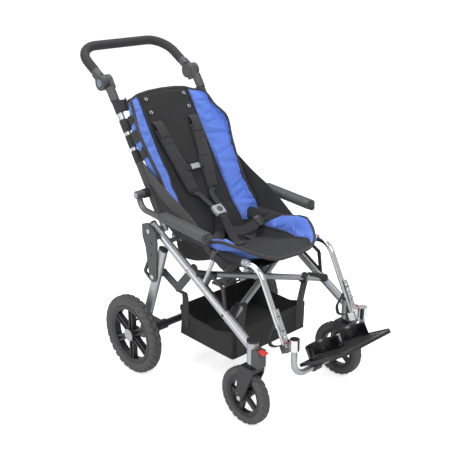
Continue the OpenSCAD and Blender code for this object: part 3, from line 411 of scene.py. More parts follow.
dark_plastic = moulded("dark_grained_plastic", (0.055, 0.056, 0.06), 0.5, 1500.0, 0.00012)
black_plastic = moulded("black_grained_plastic", (0.016, 0.016, 0.018), 0.42, 1300.0, 0.0001)
plate_plastic = moulded("footplate_plastic", (0.014, 0.014, 0.015), 0.36, 800.0, 0.0002)
tyre_rubber = moulded("tyre_rubber", (0.05, 0.05, 0.052), 0.6, 900.0, 0.0001, 1.7)
foam = moulded("foam_grip", (0.022, 0.022, 0.024), 0.72, 650.0, 0.0004)
red_plastic = moulded("red_lever", (0.62, 0.05, 0.04), 0.34, 1200.0, 0.00004, 1.2)
pale_plastic = moulded("pale_button", (0.16, 0.21, 0.27), 0.4, 1200.0, 0.00006, 1.2)
buckle_grey = moulded("buckle_grey", (0.34, 0.35, 0.37), 0.34, 1200.0, 0.00005, 1.15)
gloss_strap = moulded("glossy_strap", (0.006, 0.006, 0.007), 0.18, 500.0, 0.00006)
print("plastics and rubbers ready")

# %% [markdown]
# Cloth. A plain weave is two crossing ripples over the piece's own texture places, so it lies
# along the cloth however it is bent. The blue cover is a close nylon weave with a soft sheen and
# faint shadows of handling. The black panels are coarser, and webbing has ribs across its width. The
# seat bolsters are blue only in front: behind a slanting line, where the belts lie, they are black.

# %% Cloth finishes
def woven(name, colour, roughness, threads, depth, shade, sheen, behind=None):
    """A weave of so many threads to the metre, black behind a slanting line if one is given."""
    made = Finish(name, colour, roughness, Sheen_Weight=sheen, Sheen_Roughness=0.4)
    across = made.node("SeparateXYZ", {0: made.metres()})
    along = Value(made, across.socket.node.outputs[1])
    turns = 2 * math.pi * threads
    warp, weft = (made.node("Math", {0: way * turns}, operation="SINE") for way in (across, along))
    cloud = made.noise(18.0, 6.0)
    fibre = made.noise(1400.0, 2.0)
    dyed = made.tint(shade, cloud ** 2.0 * 0.7 + fibre * 0.25)
    if behind:
        y = made.node("SeparateXYZ", {0: made.place()}, 1)
        leaning = y + BELT_LEAN * Value(made, y.socket.node.outputs[2])
        hidden = made.node("Math", {0: leaning, 1: behind}, operation="GREATER_THAN")
        made.tint((0.011, 0.011, 0.012), hidden, dyed)
    made.rough(roughness - 0.06 + 0.12 * cloud)
    made.bump(warp * weft * 0.5 + fibre * 0.6 + made.noise(60.0, 3.0) * 0.9, depth)
    return made


BLUE = ((0.12, 0.235, 0.76), 0.72, 900.0, 0.0004, (0.085, 0.18, 0.66), 0.12)
BELT_LEAN = 1.4
blue_cloth = woven("blue_padded_cloth", *BLUE)
bolster_cloth = woven("bolster_cloth", *BLUE, axle_y - 0.165 + BELT_LEAN * 0.460)
black_cloth = woven("black_woven_panel", (0.009, 0.009, 0.01), 0.8, 520.0, 0.0004, (0.02, 0.02, 0.021), 0.06)
# The side panel's charcoal is the grey hem's cloth made darker, which is painted shade.
grey_cloth = woven("charcoal_cloth_painted_shade", (0.02, 0.02, 0.022), 0.82, 600.0, 0.0005, (0.04, 0.04, 0.043), 0.12)
hem_cloth = woven("grey_hem", (0.062, 0.062, 0.064), 0.8, 600.0, 0.0005, (0.07, 0.07, 0.073), 0.12)
bag_cloth = woven("basket_cloth", (0.012, 0.012, 0.013), 0.84, 420.0, 0.0006, (0.026, 0.026, 0.028), 0.08)
pad_cloth = woven("shoulder_pad_cloth", (0.02, 0.02, 0.022), 0.85, 500.0, 0.0006, (0.042, 0.042, 0.045), 0.15)
binding = woven("dark_binding_tape", (0.03, 0.029, 0.028), 0.75, 700.0, 0.0004, (0.055, 0.052, 0.05), 0.1)
webbing = woven("black_webbing", (0.017, 0.017, 0.018), 0.66, 380.0, 0.0008, (0.035, 0.035, 0.037), 0.1)
print("cloths ready")

# %% [markdown]
# Each carried-over CAD node now takes its finish. A rule of thumb: what is cast or moulded is dark
# grey, what is bent tube is silver, and only the footrest hangers and clamps are chrome. A star in a
# name stands for both sides.

# %% Finishes of the CAD nodes
NODE_FINISHES = {
    silver: "front_leg_* cross_brace seat_rails seat_rail_brackets rear_leg_* back_tube_* foot_tube",
    gunmetal: "armrest_*",
    chrome: "footrest_hangers footrest_slides",
    zinc: "frame_bolts front_axle_*",
    coated: "front_tie_loops rear_leg_fittings rear_axle",
    dark_plastic: "swivel_housing_* leg_stays fold_plates handle_joints push_handle armrest_pad_*",
    black_plastic: "tube_caps cross_brace_ends rear_rim_* front_rim_* brake_pedal_* caster_fork_* armrest_knuckle_*",
    plate_plastic: "footplate",
    foam: "handle_grip",
    red_plastic: "caster_lock_*",
    pale_plastic: "handle_button_*",
    tyre_rubber: "rear_tyre_* front_tyre_*",
    buckle_grey: "harness_buckle",
    gloss_strap: "heel_straps",
    webbing: "back_lacing basket_straps lap_harness shoulder_harness",
    grey_cloth: "side_panels",
    bag_cloth: "basket",
    blue_cloth: "seat_cover back_cover",
}
finished = 0
for finish, names in NODE_FINISHES.items():
    for name in names.split():
        for side in ("left", "right") if "*" in name else ("",):
            slots = frame["nodes"][name.replace("*", side)].data.materials
            slots.clear()
            slots.append(finish.material)
            finished += 1
print("finished nodes:", finished)

# %% [markdown]
# The tyres. The rear ones have a wide tread with slanted grooves that reach the shoulders, the front
# ones a shallower pattern. Grooves must be real relief to show on the outline, so the tyre is turned
# from its section and the tread points inside a groove are drawn in by its depth.

# %% Tyres with a cut tread
def tyre(name, node, body, centre, bead, radius, width, grooves, depth, steps):
    """A turned tyre: smooth side walls with a raised ring, slanted grooves over the crown."""
    deep = radius - bead
    side = [(0.0, 0.3), (0.12, 0.38), (0.3, 0.44), (0.38, 0.465), (0.42, 0.465), (0.47, 0.485), (0.6, 0.5),
            (0.72, 0.49), (0.82, 0.44), (0.9, 0.38), (0.95, 0.31), (0.985, 0.22), (0.997, 0.12), (1.0, 0.05)]
    half = [(bead + deep * r, -width * a) for r, a in side]
    profile = np.array(half + [(r, -a) for r, a in half[::-1]])
    turn = circle(steps)[:, None]
    r, x = profile[:, 0][None, :], profile[:, 1][None, :]
    slant = np.mod(turn / (2 * math.pi) * grooves + 0.55 * np.abs(x) / width * 2 + 0.5 * (x > 0), 1.0)
    high = (r - bead - 0.5 * deep) / deep
    cut = np.clip(1.5 - np.abs(slant - 0.5) / 0.12, 0, 1) * np.clip(high / 0.1, 0, 1)
    cut = np.maximum(cut, np.clip(1.5 - np.abs(x) / (0.06 * width), 0, 1) * 0.8)
    r = r - depth * cut * np.clip(high / 0.12, 0, 1)
    ring = turned(x * (1 - 0.09 * cut), r, turn, centre)
    faces = grid_faces(steps, ring.shape[1], wrap=True, around=True)
    made = piece(name, ring.reshape(-1, 3), faces, tyre_rubber, body, arc_places(ring), 50.0)
    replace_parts(made, node)


REAR_WHEEL, FRONT_WHEEL = (283, 0, 140), (222, -497, 95)
REAR_TYRE = {"bead": 104.2, "radius": 140.0, "width": 44.0, "grooves": 30, "depth": 4.2, "steps": 360}
FRONT_TYRE = {"bead": 68.2, "radius": 95.0, "width": 38.0, "grooves": 24, "depth": 2.8, "steps": 288}
for side, sign in SIDES:
    for end, (x, y, z), sizes in (("rear", REAR_WHEEL, REAR_TYRE), ("front", FRONT_WHEEL, FRONT_TYRE)):
        tyre(f"{end}_tread_{side}", f"{end}_tyre_{side}", f"{end}_wheel_{side}", mm(sign * x, y, z), **sizes)
print("tyres:", REAR_TYRE["grooves"], "rear and", FRONT_TYRE["grooves"], "front grooves a side")

# %% [markdown]
# A grey cap closes each rear hub. It is turned, with a shallow dish and a raised rim.

# %% Hub caps
HUB_CAP = [(0.01, 23.2), (8, 23.2), (9, 22.4), (14, 22.4), (16, 23.0), (19, 22.6), (21.5, 21.0), (22, 20.2),
           (0.01, 20.2)]
for side, sign in SIDES:
    lathe(f"rear_hub_cap_{side}", mm(sign * REAR_WHEEL[0], *REAR_WHEEL[1:]), [(r, sign * x) for r, x in HUB_CAP],
          buckle_grey, f"rear_wheel_{side}", 40)
print("hub caps turned")

# %% [markdown]
# The padded back is three panels sewn side by side: a black middle and two blue wings that flare
# forward and outward. A wing's section is a smooth line through a few places, and its edge moves
# along the back: wide at the shoulders, with a step above them. At the bottom the cover runs on past
# the back's pivot down to the seat.

# %% Sections of the back
COVER_TOP, REAR_N, FACE_N, WING_REACH, WING_OUT, SEAM_X = 465.0, 8.0, 20.0, 110.0, 183.0, 109.0
EDGE_FORWARD = [(-110, 77), (-40, 77), (0, 69), (38, 60), (65, 58), (103, 58), (130, 60), (220, 61), (250, 63),
                (280, 67), (300, 68), (318, 67), (340, 60), (356, 55), (370, 52), (400, 51), (430, 44), (460, 24)]
EDGE_ACROSS = [(130, 181), (160, 182), (190, 187), (220, 191), (250, 196), (280, 201), (300, 203), (318, 201),
               (340, 193), (356, 185), (370, 180), (400, 172), (430, 163), (460, 148)]
TOP_DROP = [(0, 0), (60, 2), (108, 9), (150, 20), (183, 30)]
WING_FACE = [(108, 20), (122, 22.5), (138, 26), (150, 33), (160, 41), (170.5, 59), (171.8, 80), (171, 110)]
WING_REAR = [(110, 8), (130, 10.5), (145, 13), (159, 19), (171, 27), (179.5, 52), (179.0, 80), (177.6, 110)]
WING_LOW = [(0, -56), (0.3, -66), (0.6, -55), (0.85, -32), (1, -4)]


def rounded(at, table, blur=8.0):
    """A line through a few places with its corners rounded off."""
    keys, values = zip(*table)
    return np.mean([np.interp(at + blur * k, keys, values) for k in (-1, -0.6, -0.2, 0.2, 0.6, 1)], axis=0)


def section(points, share):
    """A smooth section through a few points: share runs from the seam to the edge."""
    points = np.array(points, float)
    run = lengths(points)
    return [curve(share * run[-1], np.stack([run, points[:, k]], -1)) for k in (0, 1)]


def ripple(share, low, high):
    """Rises from 0 at low to 1 at high, smoothly."""
    t = np.clip((share - low) / (high - low), 0, 1)
    return t * t * (3 - 2 * t)


def sink(along):
    """Below the pivot the cover comes forward to meet the seat."""
    return 14.0 * ripple(-along, -30, 50)


def wing_point(points, base, share, up, sign):
    """A place of the wing: share from seam to edge, up from its lower end to the top."""
    x, n = section(points, share)
    low = curve(share, WING_LOW)
    along = low + up * (COVER_TOP - rounded(x, TOP_DROP) - low)
    curl = (rounded(along, EDGE_FORWARD) - FACE_N - sink(along)) / (WING_REACH - FACE_N)
    flare = np.maximum(0, x - SEAM_X) / (WING_OUT - SEAM_X) * (rounded(along, EDGE_ACROSS) - WING_OUT)
    return sign * (x + flare), along, base + sink(along) + (n - base) * np.maximum(curl, 0.04)


PRESSURE, SLACK, FRAMES = 4.0, 0.06, 16


def swell(made, pinned, cap):
    """Blows up a closed pad as slack cloth, keeps every point near where it started, and applies it."""
    mesh = made.data
    start = np.array([v.co for v in mesh.vertices])
    made.vertex_groups.new(name="sewn").add([int(i) for i in pinned], 1.0, "REPLACE")
    cloth = made.modifiers.new("swell", "CLOTH")
    settings = cloth.settings
    settings.quality = 5
    settings.mass = 0.2
    settings.tension_stiffness = settings.compression_stiffness = 12.0
    settings.shear_stiffness = 6.0
    settings.bending_stiffness = 0.4
    settings.use_pressure = True
    settings.uniform_pressure_force = PRESSURE
    settings.shrink_min = -SLACK
    settings.vertex_group_mass = "sewn"
    settings.effector_weights.gravity = 0.0
    cloth.collision_settings.use_collision = False
    cloth.point_cache.frame_start, cloth.point_cache.frame_end = 1, FRAMES
    for step in range(1, FRAMES + 1):
        bpy.context.scene.frame_set(step)
    moved = made.evaluated_get(bpy.context.evaluated_depsgraph_get()).data
    shape = np.array([v.co for v in moved.vertices])
    made.modifiers.remove(cloth)
    bpy.context.scene.frame_set(1)
    way = shape - start
    far = np.linalg.norm(way, axis=1)[:, None]
    shape = start + way * np.minimum(1.0, cap / 1000.0 / np.maximum(far, 1e-9))
    mesh.vertices.foreach_set("co", shape.astype(np.float32).ravel())
    mesh.update()
    return float(far.max() * 1000.0)


def stuffed(made):
    made.modifiers.new("fine", "SUBSURF").levels = 1
    return made


def cushion(name, face, rear, border, puff, place, sign, finish, body, cap):
    """A blue pad: thinned to its border and puffed, then swelled with its border and rear held as if sewn."""
    face = rear + (face - rear) * (0.45 + 0.55 * border)[:, :, None]
    out = (face - rear) / np.linalg.norm(face - rear, axis=2)[:, :, None]
    face = face + out * (border * puff(face[:, :, 1]))[:, :, None]
    face, rear = (place(*np.moveaxis(grid, 2, 0))[:, ::sign] for grid in (face, rear))
    made = pad(name, face, rear, finish, body)
    inner = np.zeros(border.shape, bool)
    inner[2:-2, 2:-2] = True
    pinned = np.flatnonzero(~np.concatenate([inner.ravel(), np.zeros(inner.size, bool)]))
    print(name, "swelled", round(swell(made, pinned, cap), 1), "mm")
    return stuffed(made)


def sewn_sides(share):
    """0 on the two long borders of a pad and 1 between them."""
    return ripple(share, 0, 0.12) * (1 - ripple(share, 0.84, 1.0))


def bend_at_pivot(made):
    """Bakes the piece's placement into its points."""
    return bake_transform(made, "chassis", "back", tuple(on_back(0, -60, 30)), tuple(on_back(0, 60, 30)))


print("edge of the wing at the shoulder:", round(float(rounded(np.array(300.0), EDGE_ACROSS)), 1), "mm out")

# %% [markdown]
# Cloth simulation gives the wings their creases: the face is sewn down round its border, is a
# little larger than the space it is sewn into, and is blown up gently, so it buckles as real
# padded nylon does. A few broad creases are listed first, where the cloth folds with the body.

# %% Blue wings of the back
WING_ROWS, WING_COLUMNS = 104, 27
WING_CREASES = [(-28, 34, 7, 4.0, 0.55, 0.3), (2, -30, 7, 3.6, 0.6, 0.3), (34, 44, 7, 3.4, 0.4, 0.3),
                (72, 52, 7, 4.6, 0.5, 0.32), (98, 30, 8, 3.0, 0.7, 0.25), (150, -30, 9, 2.4, 0.5, 0.3),
                (205, 36, 9, 2.8, 0.6, 0.3), (262, -26, 10, 2.4, 0.45, 0.3), (322, 30, 8, 2.6, 0.62, 0.3),
                (390, -20, 9, 1.8, 0.5, 0.3)]


def creases(along, share, lines):
    """Listed creases: each runs at a slant through one place, with a width and a depth."""
    total = np.zeros_like(along + share)
    for at, slope, wide, deep, middle, length in lines:
        away = along - (at + slope * (share - middle))
        total = total - 1.5 * deep * np.exp(-(away / wide) ** 2) * np.exp(-((share - middle) / length) ** 2)
    return total


def wing_grid(points, base, share, up, sign):
    return np.stack(np.broadcast_arrays(*wing_point(points, base, share, up, sign)), -1)


def wing_sides(share, up, sign):
    """The face and the rear of a wing."""
    return (wing_grid(*wing, share, up, sign) for wing in ((WING_FACE, FACE_N), (WING_REAR, REAR_N)))


def back_wing(side, sign):
    up = np.linspace(0, 1, WING_ROWS)[:, None]
    share = np.linspace(0, 1, WING_COLUMNS)[None, :]
    border = sewn_sides(share) * ripple(up, 0, 0.06) * (1 - ripple(up, 0.95, 1))
    return bend_at_pivot(cushion(f"back_wing_{side}", *wing_sides(share, up, sign), border,
                                 lambda along: 2.5 + creases(along, share, WING_CREASES),
                                 on_back, sign, blue_cloth, None, 7.0))


back_wings = [back_wing(side, sign) for side, sign in SIDES]
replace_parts(back_wings[0], "back_cover")
print("wings:", len(back_wings[0].data.vertices), "points each")

# %% [markdown]
# The black middle of the back is a flatter pad with a low crown. It runs down to the seat in one
# piece. Four eyelets for a head support are pressed through it near the top.

# %% Middle of the back
MIDDLE_X, MIDDLE_LOW = SEAM_X + 2, 104.0
EYELET_ROWS, EYELET_X, EYELET_R = (434.0, 384.0), 84, 5.0


def back_middle():
    up = np.linspace(0, 1, 74)[:, None]
    x = np.linspace(-MIDDLE_X, MIDDLE_X, 41)[None, :]
    along = -MIDDLE_LOW + up * (COVER_TOP - rounded(np.abs(x), TOP_DROP) + MIDDLE_LOW)
    edge = ripple(MIDDLE_X - np.abs(x), 0, 16) * (1 - ripple(up, 0.975, 1.0)) * ripple(up, 0, 0.03)
    drape = 0.8 * np.sin(x / 17.0 + along / 60.0) * np.sin(along / 34.0) + 0.6 * np.sin(x / 31.0 - along / 25.0)
    crown = 4.2 * (1 - (x / MIDDLE_X) ** 2) * np.sin(math.pi * up) ** 0.6
    face = FACE_N + sink(along) - 5.5 + edge * (5.5 + crown + drape)
    made = pad("back_middle", on_back(*np.broadcast_arrays(x, along, face)),
               on_back(*np.broadcast_arrays(x, along, REAR_N + sink(along))), black_cloth, None)
    return bend_at_pivot(stuffed(made))


back_middle()
for side, sign in SIDES:
    for row, along in enumerate(EYELET_ROWS):
        turn = circle(28)
        ring = on_back(sign * EYELET_X + EYELET_R * np.cos(turn), along + EYELET_R * np.sin(turn), FACE_N + 3.6)
        sweep(f"eyelet_{side}_{row}", ring, BACK_AHEAD, round_profile(3.0), zinc, "back", closed=True)
print("back middle and eyelets ready")

# %% [markdown]
# A dark tape binds the outer edge of the back, up one wing, over the top and down the other. Two
# lines of piping cover the seams between blue and black.

# %% Binding of the back
def strap(name, path, side, wide, thick, body, finish=webbing, closed=False):
    """A flat band along a path, such as webbing or binding tape, in the finish given."""
    return sweep(name, path, side, flat_profile(wide, thick), finish, body, closed)


def cord(name, line, side, size, body, finish=binding, slot_name="webbing", sides=12, **shape):
    """A round form along a line, such as piping or a sleeve, in the finish given."""
    return sweep(name, line, side, round_profile(size, sides), finish, body, **shape)


def wing_edge(share, up, sign):
    """The middle of the wing's edge, as places on the back."""
    face, rear = wing_sides(share, up, sign)
    return rear + (face - rear) * 0.2 + (0, 0, 0.8)


rise_up = np.linspace(0.0, 1.0, 120)
right, left = (wing_edge(np.array(1.0), rise_up, sign) for sign in (-1, 1))
across_top = np.linspace(0.97, 0.0, 18)
right_top, left_top = (wing_edge(across_top, np.array(1.0), sign) for sign in (-1, 1))
middle_x = np.linspace(-SEAM_X, SEAM_X, 26)[1:-1]
bridge = np.stack([middle_x, COVER_TOP - rounded(np.abs(middle_x), TOP_DROP), np.full(24, 13.0)], -1)
loop = np.concatenate([right, right_top, bridge, left_top[::-1], left[::-1]]) + (0, 1.0, 0)
bend_at_pivot(strap("back_binding", smooth_path(on_back(*loop.T), 320), BACK_AHEAD, 9.5, 7.5, None, binding))
for side, sign in SIDES:
    along = np.linspace(-68, COVER_TOP - 10, 80)
    line = on_back(sign * (SEAM_X + 0.6), along, FACE_N - 1.4 + sink(along))
    bend_at_pivot(cord(f"back_piping_{side}", line, ACROSS, 4.6, None))
print("back bound over", len(loop), "places")

# %% [markdown]
# The seat is built like the back: a black middle and two blue bolsters that roll up over the rails,
# with a horn on each side near the front. Its front corners are rounded, so every row of its grid
# is a curved line from side to side, and the middle dips towards the back between the rails.

# %% Sections of the seat
SEAT_Z, SEAT_BACK, SEAT_LENGTH = 500.0, -95.0, 383.0
CORNER = [(0, -10), (60, -7), (79, -3), (110, 9), (130, 28), (150, 53), (160, 70), (170, 91), (180, 114)]
FRONT_RISE = [(0, 8), (60, 9), (79, 11), (110, 21), (130, 30), (150, 41), (160, 47), (170, 53), (180, 56)]
BOLSTER = [(-490, 38), (-437, 46), (-398, 54), (-384, 56), (-340, 56), (-270, 36), (-95, 32)]
DIP = [(-428, 0), (-380, 8), (-300, 30), (-220, 46), (-150, 52), (-95, 46)]
SIDE_FACE = [(111, 0), (120, 0.03), (132, 0.11), (143, 0.36), (152, 0.71), (161, 0.94), (170, 1.0)]
SIDE_REAR = [(113, -12), (137, -7), (145.5, 5), (156, 12.4), (168, 12.4), (176, 24), (180, 40)]
SEAM_LINE = [(0, 136), (0.6, 134), (0.72, 130), (0.94, 106), (1, 79)]
RAIL_TOP, FULL_RISE = 12.4, 56.0


def seat_y(x, run):
    """How far back a place is: run goes from the back edge, 0, to the front edge, 1."""
    return SEAT_BACK - run * (SEAT_LENGTH - rounded(np.abs(x), CORNER, 4.0))


def seam_x(run):
    """The seams between blue and black lie on the bolsters and draw in towards the front edge."""
    return rounded(run, SEAM_LINE, 0.02)


def to_seam(x, share, run):
    """Moves a bolster's inner side to the seam."""
    return x + (seam_x(run) - SIDE_FACE[0][0]) * (1 - share) ** 1.5


def dip(x, y):
    return np.interp(np.abs(x), [112, 145], [1, 0]) * rounded(y, DIP)


def seat_height(x, y):
    """The height of the seat's face: it dips in the middle and rises over the rails."""
    keys, values = zip(*SIDE_FACE)
    return SEAT_Z + np.interp(np.abs(x), keys, values) * rounded(y, BOLSTER) - dip(x, y)


def turned_up(x, run, height, thick):
    """Draws a height towards the front edge, which is turned up all round like a shallow dish."""
    return height + (SEAT_Z + rounded(np.abs(x), FRONT_RISE, 4.0) - thick - height) * ripple(run, 0.76, 1.0)


def bolster_face(share, run):
    x = to_seam(section(SIDE_FACE, share)[0], share, run)
    y = seat_y(x, run)
    return np.stack(np.broadcast_arrays(x, y, turned_up(x, run, seat_height(x, y), 0.0)), -1)


def bolster_rear(share, run):
    x, z = section(SIDE_REAR, share)
    x = to_seam(x, share, run)
    y = seat_y(x, run)
    scale = (rounded(y, BOLSTER) - RAIL_TOP) / (FULL_RISE - RAIL_TOP)
    z = SEAT_Z + np.where(z > RAIL_TOP, RAIL_TOP + (z - RAIL_TOP) * scale, z) - dip(x, y)
    return np.stack(np.broadcast_arrays(x, y, turned_up(x, run, z, 10.0)), -1)


print("the seat dips by", round(float(dip(np.array(0.0), np.array(-150.0))), 1), "mm")

# %% [markdown]
# The bolsters are swelled in the same way as the wings of the back. Their outer side hangs a little
# over the rail, which gives the wrinkled blue edge that is seen from the side.

# %% Seat bolsters and middle
SEAT_ROWS, SEAT_COLUMNS = 88, 27
SEAT_CREASES = [(-150, 20, 9, 2.0, 0.5, 0.3), (-205, -24, 8, 2.6, 0.6, 0.3), (-262, 18, 9, 2.8, 0.55, 0.3),
                (-318, -20, 8, 2.6, 0.6, 0.3), (-352, 26, 7, 2.0, 0.4, 0.25), (-404, 14, 7, 2.4, 0.6, 0.3)]


def seat_bolster(side, sign):
    run = np.linspace(1, 0, SEAT_ROWS)[:, None]
    share = np.linspace(0, 1, SEAT_COLUMNS)[None, :]
    face, rear = (side_of(share, run) * (sign, 1, 1) for side_of in (bolster_face, bolster_rear))
    border = sewn_sides(share) * (1 - ripple(run, 0.94, 1.0)) * ripple(run, 0, 0.04)
    y = face[:, :, 1]
    return cushion(f"seat_bolster_{side}", face, rear, border,
                   lambda thinned: 2.2 + creases(y, share, SEAT_CREASES), mm, sign, bolster_cloth, "chassis", 5.0)


seat_bolsters = [seat_bolster(side, sign) for side, sign in SIDES]
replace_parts(seat_bolsters[0], "seat_cover")


def seat_middle():
    run = np.linspace(1, 0, 70)[:, None]
    side = np.linspace(-1, 1, 43)[None, :]
    x = side * (seam_x(run) + 1)
    y = seat_y(x, run)
    swollen = np.sin(math.pi * run) ** 0.7 * (1 - side ** 2)
    edge = ripple(1 - np.abs(side), 0, 0.12) * (1 - ripple(run, 0.965, 1.0))
    drape = 0.8 * np.sin(x / 19.0 + y / 47.0) * np.sin(y / 29.0) + 0.5 * np.sin(x / 27.0 - y / 22.0)
    floor = seat_height(x, y)
    face = turned_up(x, run, floor - 3.0 + 3.0 * edge + 6.2 * swollen + drape * edge, 2.0)
    rear = turned_up(x, run, floor - 12 - 4 * swollen, 10.0)
    made = pad("seat_middle", mm(x, y, face), mm(x, y, rear), black_cloth, "chassis")
    return stuffed(made)


seat_panel = seat_middle()
print("seat:", [made.name for made in seat_bolsters + [seat_panel]])

# %% [markdown]
# The same dark tape binds the seat from one rear corner round the front to the other, and piping
# runs along both seams.

# %% Binding of the seat
def seat_edge(share, run):
    rear = bolster_rear(share, run)
    return rear + (bolster_face(share, run) - rear) * 0.25 + (0, 0, 1.0)


side_run = seat_edge(np.array(1.0), np.linspace(0, 1, 70))
corner = seat_edge(np.linspace(0.97, 0.0, 30), np.array(1.0))
front_x = np.linspace(SEAM_LINE[-1][1], 0, 16)[1:]
front = np.stack([front_x, seat_y(front_x, 1.0) - 0.5, SEAT_Z - 6.0 + rounded(front_x, FRONT_RISE, 4.0)], -1)
half = np.concatenate([side_run, corner - (0, 0.5, 0), front])
loop = np.concatenate([half, half[-2::-1] * (-1, 1, 1)])
strap("seat_binding", smooth_path(mm(*loop.T), 300), UPRIGHT, 9.5, 7.0, "chassis", binding)
for side, sign in SIDES:
    run = np.linspace(0.99, 0, 60)
    x = seam_x(run)
    y = seat_y(x, run)
    line = mm(sign * x, y, turned_up(x, run, seat_height(x, y) - 0.6, 2.0))
    cord(f"seat_piping_{side}", line, ACROSS, 4.4, "chassis")
print("seat bound over", len(loop), "places")

# %% [markdown]
# Charcoal cloth closes each side between the back tube and the seat, with a wide hem along its free
# upper edge. The panel is coloured darker than its hem, which is the same cloth, as painted shade.
# The cloth crosses the back's pivot. Slack folds run down from the tube to the seat, and a sleeve
# goes round the tube.

# %% Side panels
PANEL_N, PANEL_X, TUBE_X = 11.8, 190.6, 190.0


def panel_place(u, v):
    """A place of the side panel as (y, z): u runs forward from the tube, v up to the free edge."""
    low_start, top_start = back_place(14, PANEL_N), back_place(238, PANEL_N + 2)
    low = [np.interp(u, [0, 0.3, 1], [start, *rest]) for start, rest in zip(low_start, ((-130, -300), (512, 514)))]
    high = [curve(u, [(0, top_start[0]), (0.3, -90), (0.6, -190), (1, -300)]),
            curve(u, [(0, top_start[1]), (0.3, 660), (0.6, 612), (1, 538)])]
    return [a * (1 - v) + b * v for a, b in zip(low, high)]


def panel_fold(u, v):
    slack = np.sin(math.pi * u) * np.sin(math.pi * np.clip(v, 0, 1)) ** 0.8
    return slack * (2.6 + 2.0 * np.sin(8.5 * u + 3.0 * v) + 1.2 * np.sin(15.0 * u - 5.0 * v + 1.0))


def cloth_area(made):
    return sum(face.area for face in made.data.polygons) / 2.0


def side_panel(side, sign):
    u, v = np.linspace(0, 1, 44)[:, None], np.linspace(0, 1, 40)[None, :]
    y, z = panel_place(u, v)
    layers = [mm(sign * (PANEL_X + panel_fold(u, v) + t), y, z) for t in (0.0, -1.6)]
    v = np.linspace(0.62, 1.0, 12)[None, :]
    y, z = panel_place(u, v)
    band = [mm(sign * (PANEL_X + 0.3 + panel_fold(u, v) + t), y, z) for t in (1.1, 0.0)]
    if sign > 0:
        layers, band = [g[:, ::-1] for g in layers], [g[:, ::-1] for g in band]
    # The panel cloth is coloured darker than the hem of the same cloth: painted shade.
    cloth = pad(f"side_panel_{side}", *layers, grey_cloth, None)
    hem = pad(f"side_hem_{side}", *band, hem_cloth, None)
    for made in (cloth, hem):
        tuple(mm(0, -190, 545))
        tuple(mm(0, -60, 610))
        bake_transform(made)
    along = np.array([30, 60, 98, 104, 110, 125, 142, 148, 154, 190, 232.0])
    thin = np.array([1, 1, 1, 0.96, 0.9, 0.9, 0.9, 0.96, 1, 1, 1])
    cord(f"side_sleeve_{side}", on_back(sign * TUBE_X, along, 0.0), ACROSS, 25.0, "back", hem_cloth, "grey_cloth", 28,
         scale=thin)
    return cloth


side_cloths = [side_panel(side, sign) for side, sign in SIDES]
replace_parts(side_cloths[0], "side_panels")
print("side panels:", [round(cloth_area(made), 4) for made in side_cloths], "square metres")

# %% [markdown]
# The seat hangs in a black sling between the rails. It is a plain sheet that sags below the pad. Its
# sides are sewn into sleeves round the rails, and a strap with a ladder buckle draws each side tight.

# %% Sling under the seat
SLING_X, RAIL_X = 152.0, 160.0
RAIL_SLEEVES = ((-112, -116), (-140, -284), (-316, -420))
SLING_STRAP = [(176, -250, 519), (179, -272, 507), (179, -302, 492), (176, -334, 477), (168, -352, 462)]
SLING = [(-424, 32), (-380, 38), (-300, 50), (-240, 54), (-190, 75), (-140, 90), (-84, 97)]


def sling_z(x, y):
    return SEAT_Z - 4 - rounded(y, SLING) * (1 - (np.abs(x) / SLING_X) ** 12)


def sling():
    y = np.linspace(SLING[0][0], SLING[-1][0], 48)[:, None]
    x = (SLING_X * np.sin(np.linspace(-math.pi / 2, math.pi / 2, 61)))[None, :]
    drop = sling_z(x, y) - 1.5 * np.sin(y / 26.0) * np.sin(x / 50.0) ** 2
    made = pad("seat_sling", mm(x, y, drop), mm(x, y, drop - 1.8), black_cloth, "chassis")
    return made


seat_sling = sling()
for side, sign in SIDES:
    for row, ends in enumerate(RAIL_SLEEVES):
        line = mm(sign * RAIL_X, np.linspace(*ends, 24), SEAT_Z)
        ruck = 1 + 0.02 * np.sin(np.linspace(0, 9, 24)) ** 2
        cord(f"rail_sleeve_{side}_{row}", line, ACROSS, 26.6, "chassis", black_cloth, sides=28, scale=ruck)
    path = smooth_path(listed(SLING_STRAP, sign), 40)
    strap(f"sling_strap_{side}", path, (0, 0.5, 0.86), 27, 2.2, "chassis")
    strap(f"sling_buckle_{side}", path[17:23], (0, 0.5, 0.86), 35, 7, "chassis", dark_plastic)
print("sling", round(cloth_area(seat_sling), 3), "square metres")

# %% [markdown]
# The basket is a soft box of coated cloth. It is lofted as rings: across the floor, up the outside,
# over the hem and down the inside. The walls belly out a little between the corners and the top edge
# dips along the sides.

# %% Basket
BASKET_X, BASKET_FRONT, BASKET_BACK, BASKET_Z = 172.0, -385.0, -120.0, 148.0
BASKET_RIM = [(-385, 99), (-373, 99), (-315, 81), (-195, 83), (-134, 105), (-120, 105)]
BASKET_MIDDLE, BASKET_CORNER = (BASKET_FRONT + BASKET_BACK) / 2, 7.0


def basket_top(y):
    keys, values = zip(*BASKET_RIM)
    return BASKET_Z + np.interp(y, keys, values)


